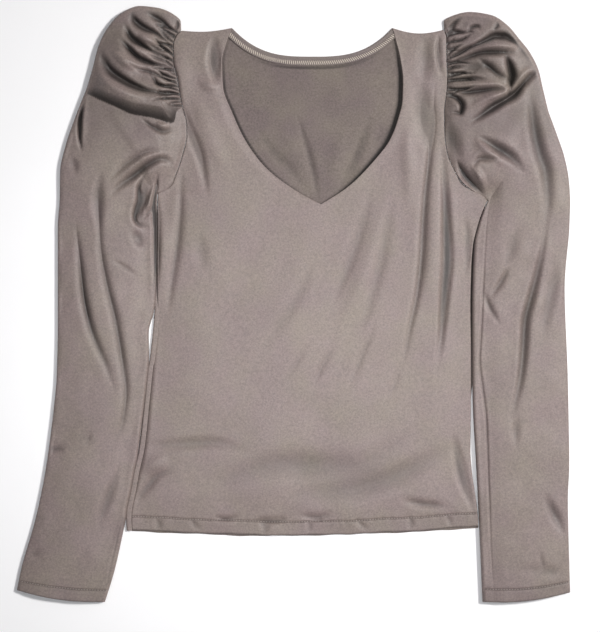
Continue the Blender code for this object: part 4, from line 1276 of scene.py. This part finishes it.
class TOP_OT_neck(bpy.types.Operator):
    """The turned and overlocked edge inside the back neck"""
    bl_idname = "top.neck"
    bl_label = "Back neck edge"

    def execute(self, context):
        settings = context.scene.top_settings
        grid = turning_grid()
        edge = cloth_piece("neck_edge_cloth", (grid,), -1.0)
        reverse = bpy.data.materials["Jersey reverse"]
        # the turned edge takes the inside's darker colour, partly painted shade
        finish_piece(edge, "back_neck_turning",
                     jersey_material("Neck edge jersey", settings.reverse), reverse)
        count = int(plan_lengths(grid.x[LOOP_TOP], grid.y[LOOP_TOP])[-1] / LOOP_PITCH)
        loops = overlock_loops(even_row(grid, LOOP_TOP, count), even_row(grid, LOOP_BOTTOM, count))
        overlock = stitch_rows("neck_overlock", loops, LOOP_LENGTH, LOOP_RADIUS,
                               thread_material("Overlock thread", settings.overlock))
        return {"FINISHED"}


class TOP_OT_sleeves(bpy.types.Operator):
    """Both sleeves, each a tube of jersey with a gathered head"""
    bl_idname = "top.sleeves"
    bl_label = "Sleeves"

    def execute(self, context):
        settings = context.scene.top_settings
        thread = thread_material("Cuff thread", settings.thread)
        for sleeve in SLEEVES:
            grid = sleeve_grid(sleeve)
            tube = cloth_piece(sleeve.name + "_cloth", (grid,), -1.0, HEM_EXTRA)
            jersey = jersey_material(sleeve.name.capitalize() + " jersey", settings.cloth, 0.5, 0.15)
            finish_piece(tube, sleeve.name, jersey,
                         bpy.data.materials["Jersey reverse"])
            row = len(grid.x) - 1 - CUFF_STEPS.index(CUFF_SEW)
            top = slice(LOW_COLUMNS + OUTER_COLUMNS, -INNER_COLUMNS)
            line = (grid.x[row, top], grid.y[row, top], grid.z[row, top] + STITCH_LIFT)
            stitches = stitch_rows(sleeve.name + "_stitches", [line], settings.stitch_pitch / MM,
                                   settings.thread_radius / MM, thread)
        return {"FINISHED"}


def new_light(kind, name, place, **values):
    """A light of one kind, with its own values."""
    bpy.ops.object.light_add(type=kind, location=place)
    light = bpy.context.object
    light.name = name
    for field, value in values.items():
        setattr(light.data, field, value)
    return light


class TOP_OT_stage(bpy.types.Operator):
    """The pale surface, the soft key light, the sky light and the camera"""
    bl_idname = "top.stage"
    bl_label = "Stage"

    def execute(self, context):
        settings = context.scene.top_settings
        bpy.ops.object.select_all(action="DESELECT")
        bpy.ops.mesh.primitive_plane_add(size=SURFACE_SIZE, location=(0, 0, 0))
        floor = context.object
        floor.name = "surface"
        floor.data.materials.append(surface_material(settings.surface))
        context.scene.world = sky_world()
        away = (math.cos(KEY_RISE) * math.cos(KEY_TURN), math.cos(KEY_RISE) * math.sin(KEY_TURN),
                math.sin(KEY_RISE))
        key = new_light("AREA", "key_light", [KEY_DISTANCE * part for part in away], shape="DISK",
                        size=KEY_SIZE, energy=KEY_POWER, color=KEY_COLOUR)
        key.rotation_euler = (0, math.pi / 2 - KEY_RISE, KEY_TURN)
        new_light("SPOT", "pool_light", SPOT_PLACE, spot_size=SPOT_ANGLE, spot_blend=1.0,
                  shadow_soft_size=SPOT_SIZE, energy=SPOT_POWER)
        bpy.ops.object.camera_add(location=(CAMERA_X * MM, CAMERA_Y * MM, CAMERA_HEIGHT * MM),
                                  rotation=(0, 0, 0))
        camera = context.object
        camera.data.sensor_width = SENSOR
        camera.data.lens = SENSOR * CAMERA_HEIGHT / VIEW_HEIGHT
        context.scene.camera = camera
        context.scene.view_settings.view_transform = "Standard"
        return {"FINISHED"}


def sky_world():
    """A soft sky, brighter straight up than at the horizon."""
    world = bpy.data.worlds.new("Sky")
    world.use_nodes = True
    tree = world.node_tree
    sky = tree.nodes["Background"]
    sky.inputs["Color"].default_value = SKY_COLOUR
    place = tree.nodes.new("ShaderNodeTexCoord")
    split = tree.nodes.new("ShaderNodeSeparateXYZ")
    tree.links.new(place.outputs["Generated"], split.inputs[0])
    height = math_node(tree, "POWER", math_node(tree, "MAXIMUM", split.outputs["Z"], 0.0), 1.5)
    tree.links.new(math_node(tree, "MULTIPLY_ADD", height, SKY_HIGH - SKY_LOW, SKY_LOW),
                   sky.inputs["Strength"])
    return world


def surface_material(colour):
    """A plain pale surface with a very faint unevenness."""
    material, tree, shader, place = new_material("Pale surface")
    cloud = noise_node(tree, place.outputs["Object"], 9.0, 4.0)
    clouded_colour(tree, shader, cloud, colour, 0.95)
    set_inputs(shader, Roughness=0.85, Specular_IOR_Level=0.1)
    return material


class TOP_PT_panel(bpy.types.Panel):
    """The top's pieces, sizes and colours"""
    bl_label = "Puff Sleeve Top"
    bl_idname = "TOP_PT_panel"
    bl_space_type = "VIEW_3D"
    bl_region_type = "UI"
    bl_category = "Top"

    def draw(self, context):
        settings = context.scene.top_settings
        for name in settings.__annotations__:
            self.layout.prop(settings, name)
        for maker in MAKERS:
            self.layout.operator(maker.bl_idname)


MAKERS = (TOP_OT_stage, TOP_OT_body, TOP_OT_neck, TOP_OT_sleeves)
CLASSES = (TopSettings,) + MAKERS + (TOP_PT_panel,)


def register():
    for part in CLASSES:
        bpy.utils.register_class(part)
    bpy.types.Scene.top_settings = PointerProperty(type=TopSettings)


def unregister():
    del bpy.types.Scene.top_settings
    for part in reversed(CLASSES):
        bpy.utils.unregister_class(part)


def main():
    register()
    bpy.ops.top.stage()
    bpy.ops.top.body()
    bpy.ops.top.neck()
    bpy.ops.top.sleeves()


if __name__ == "__main__":
    main()
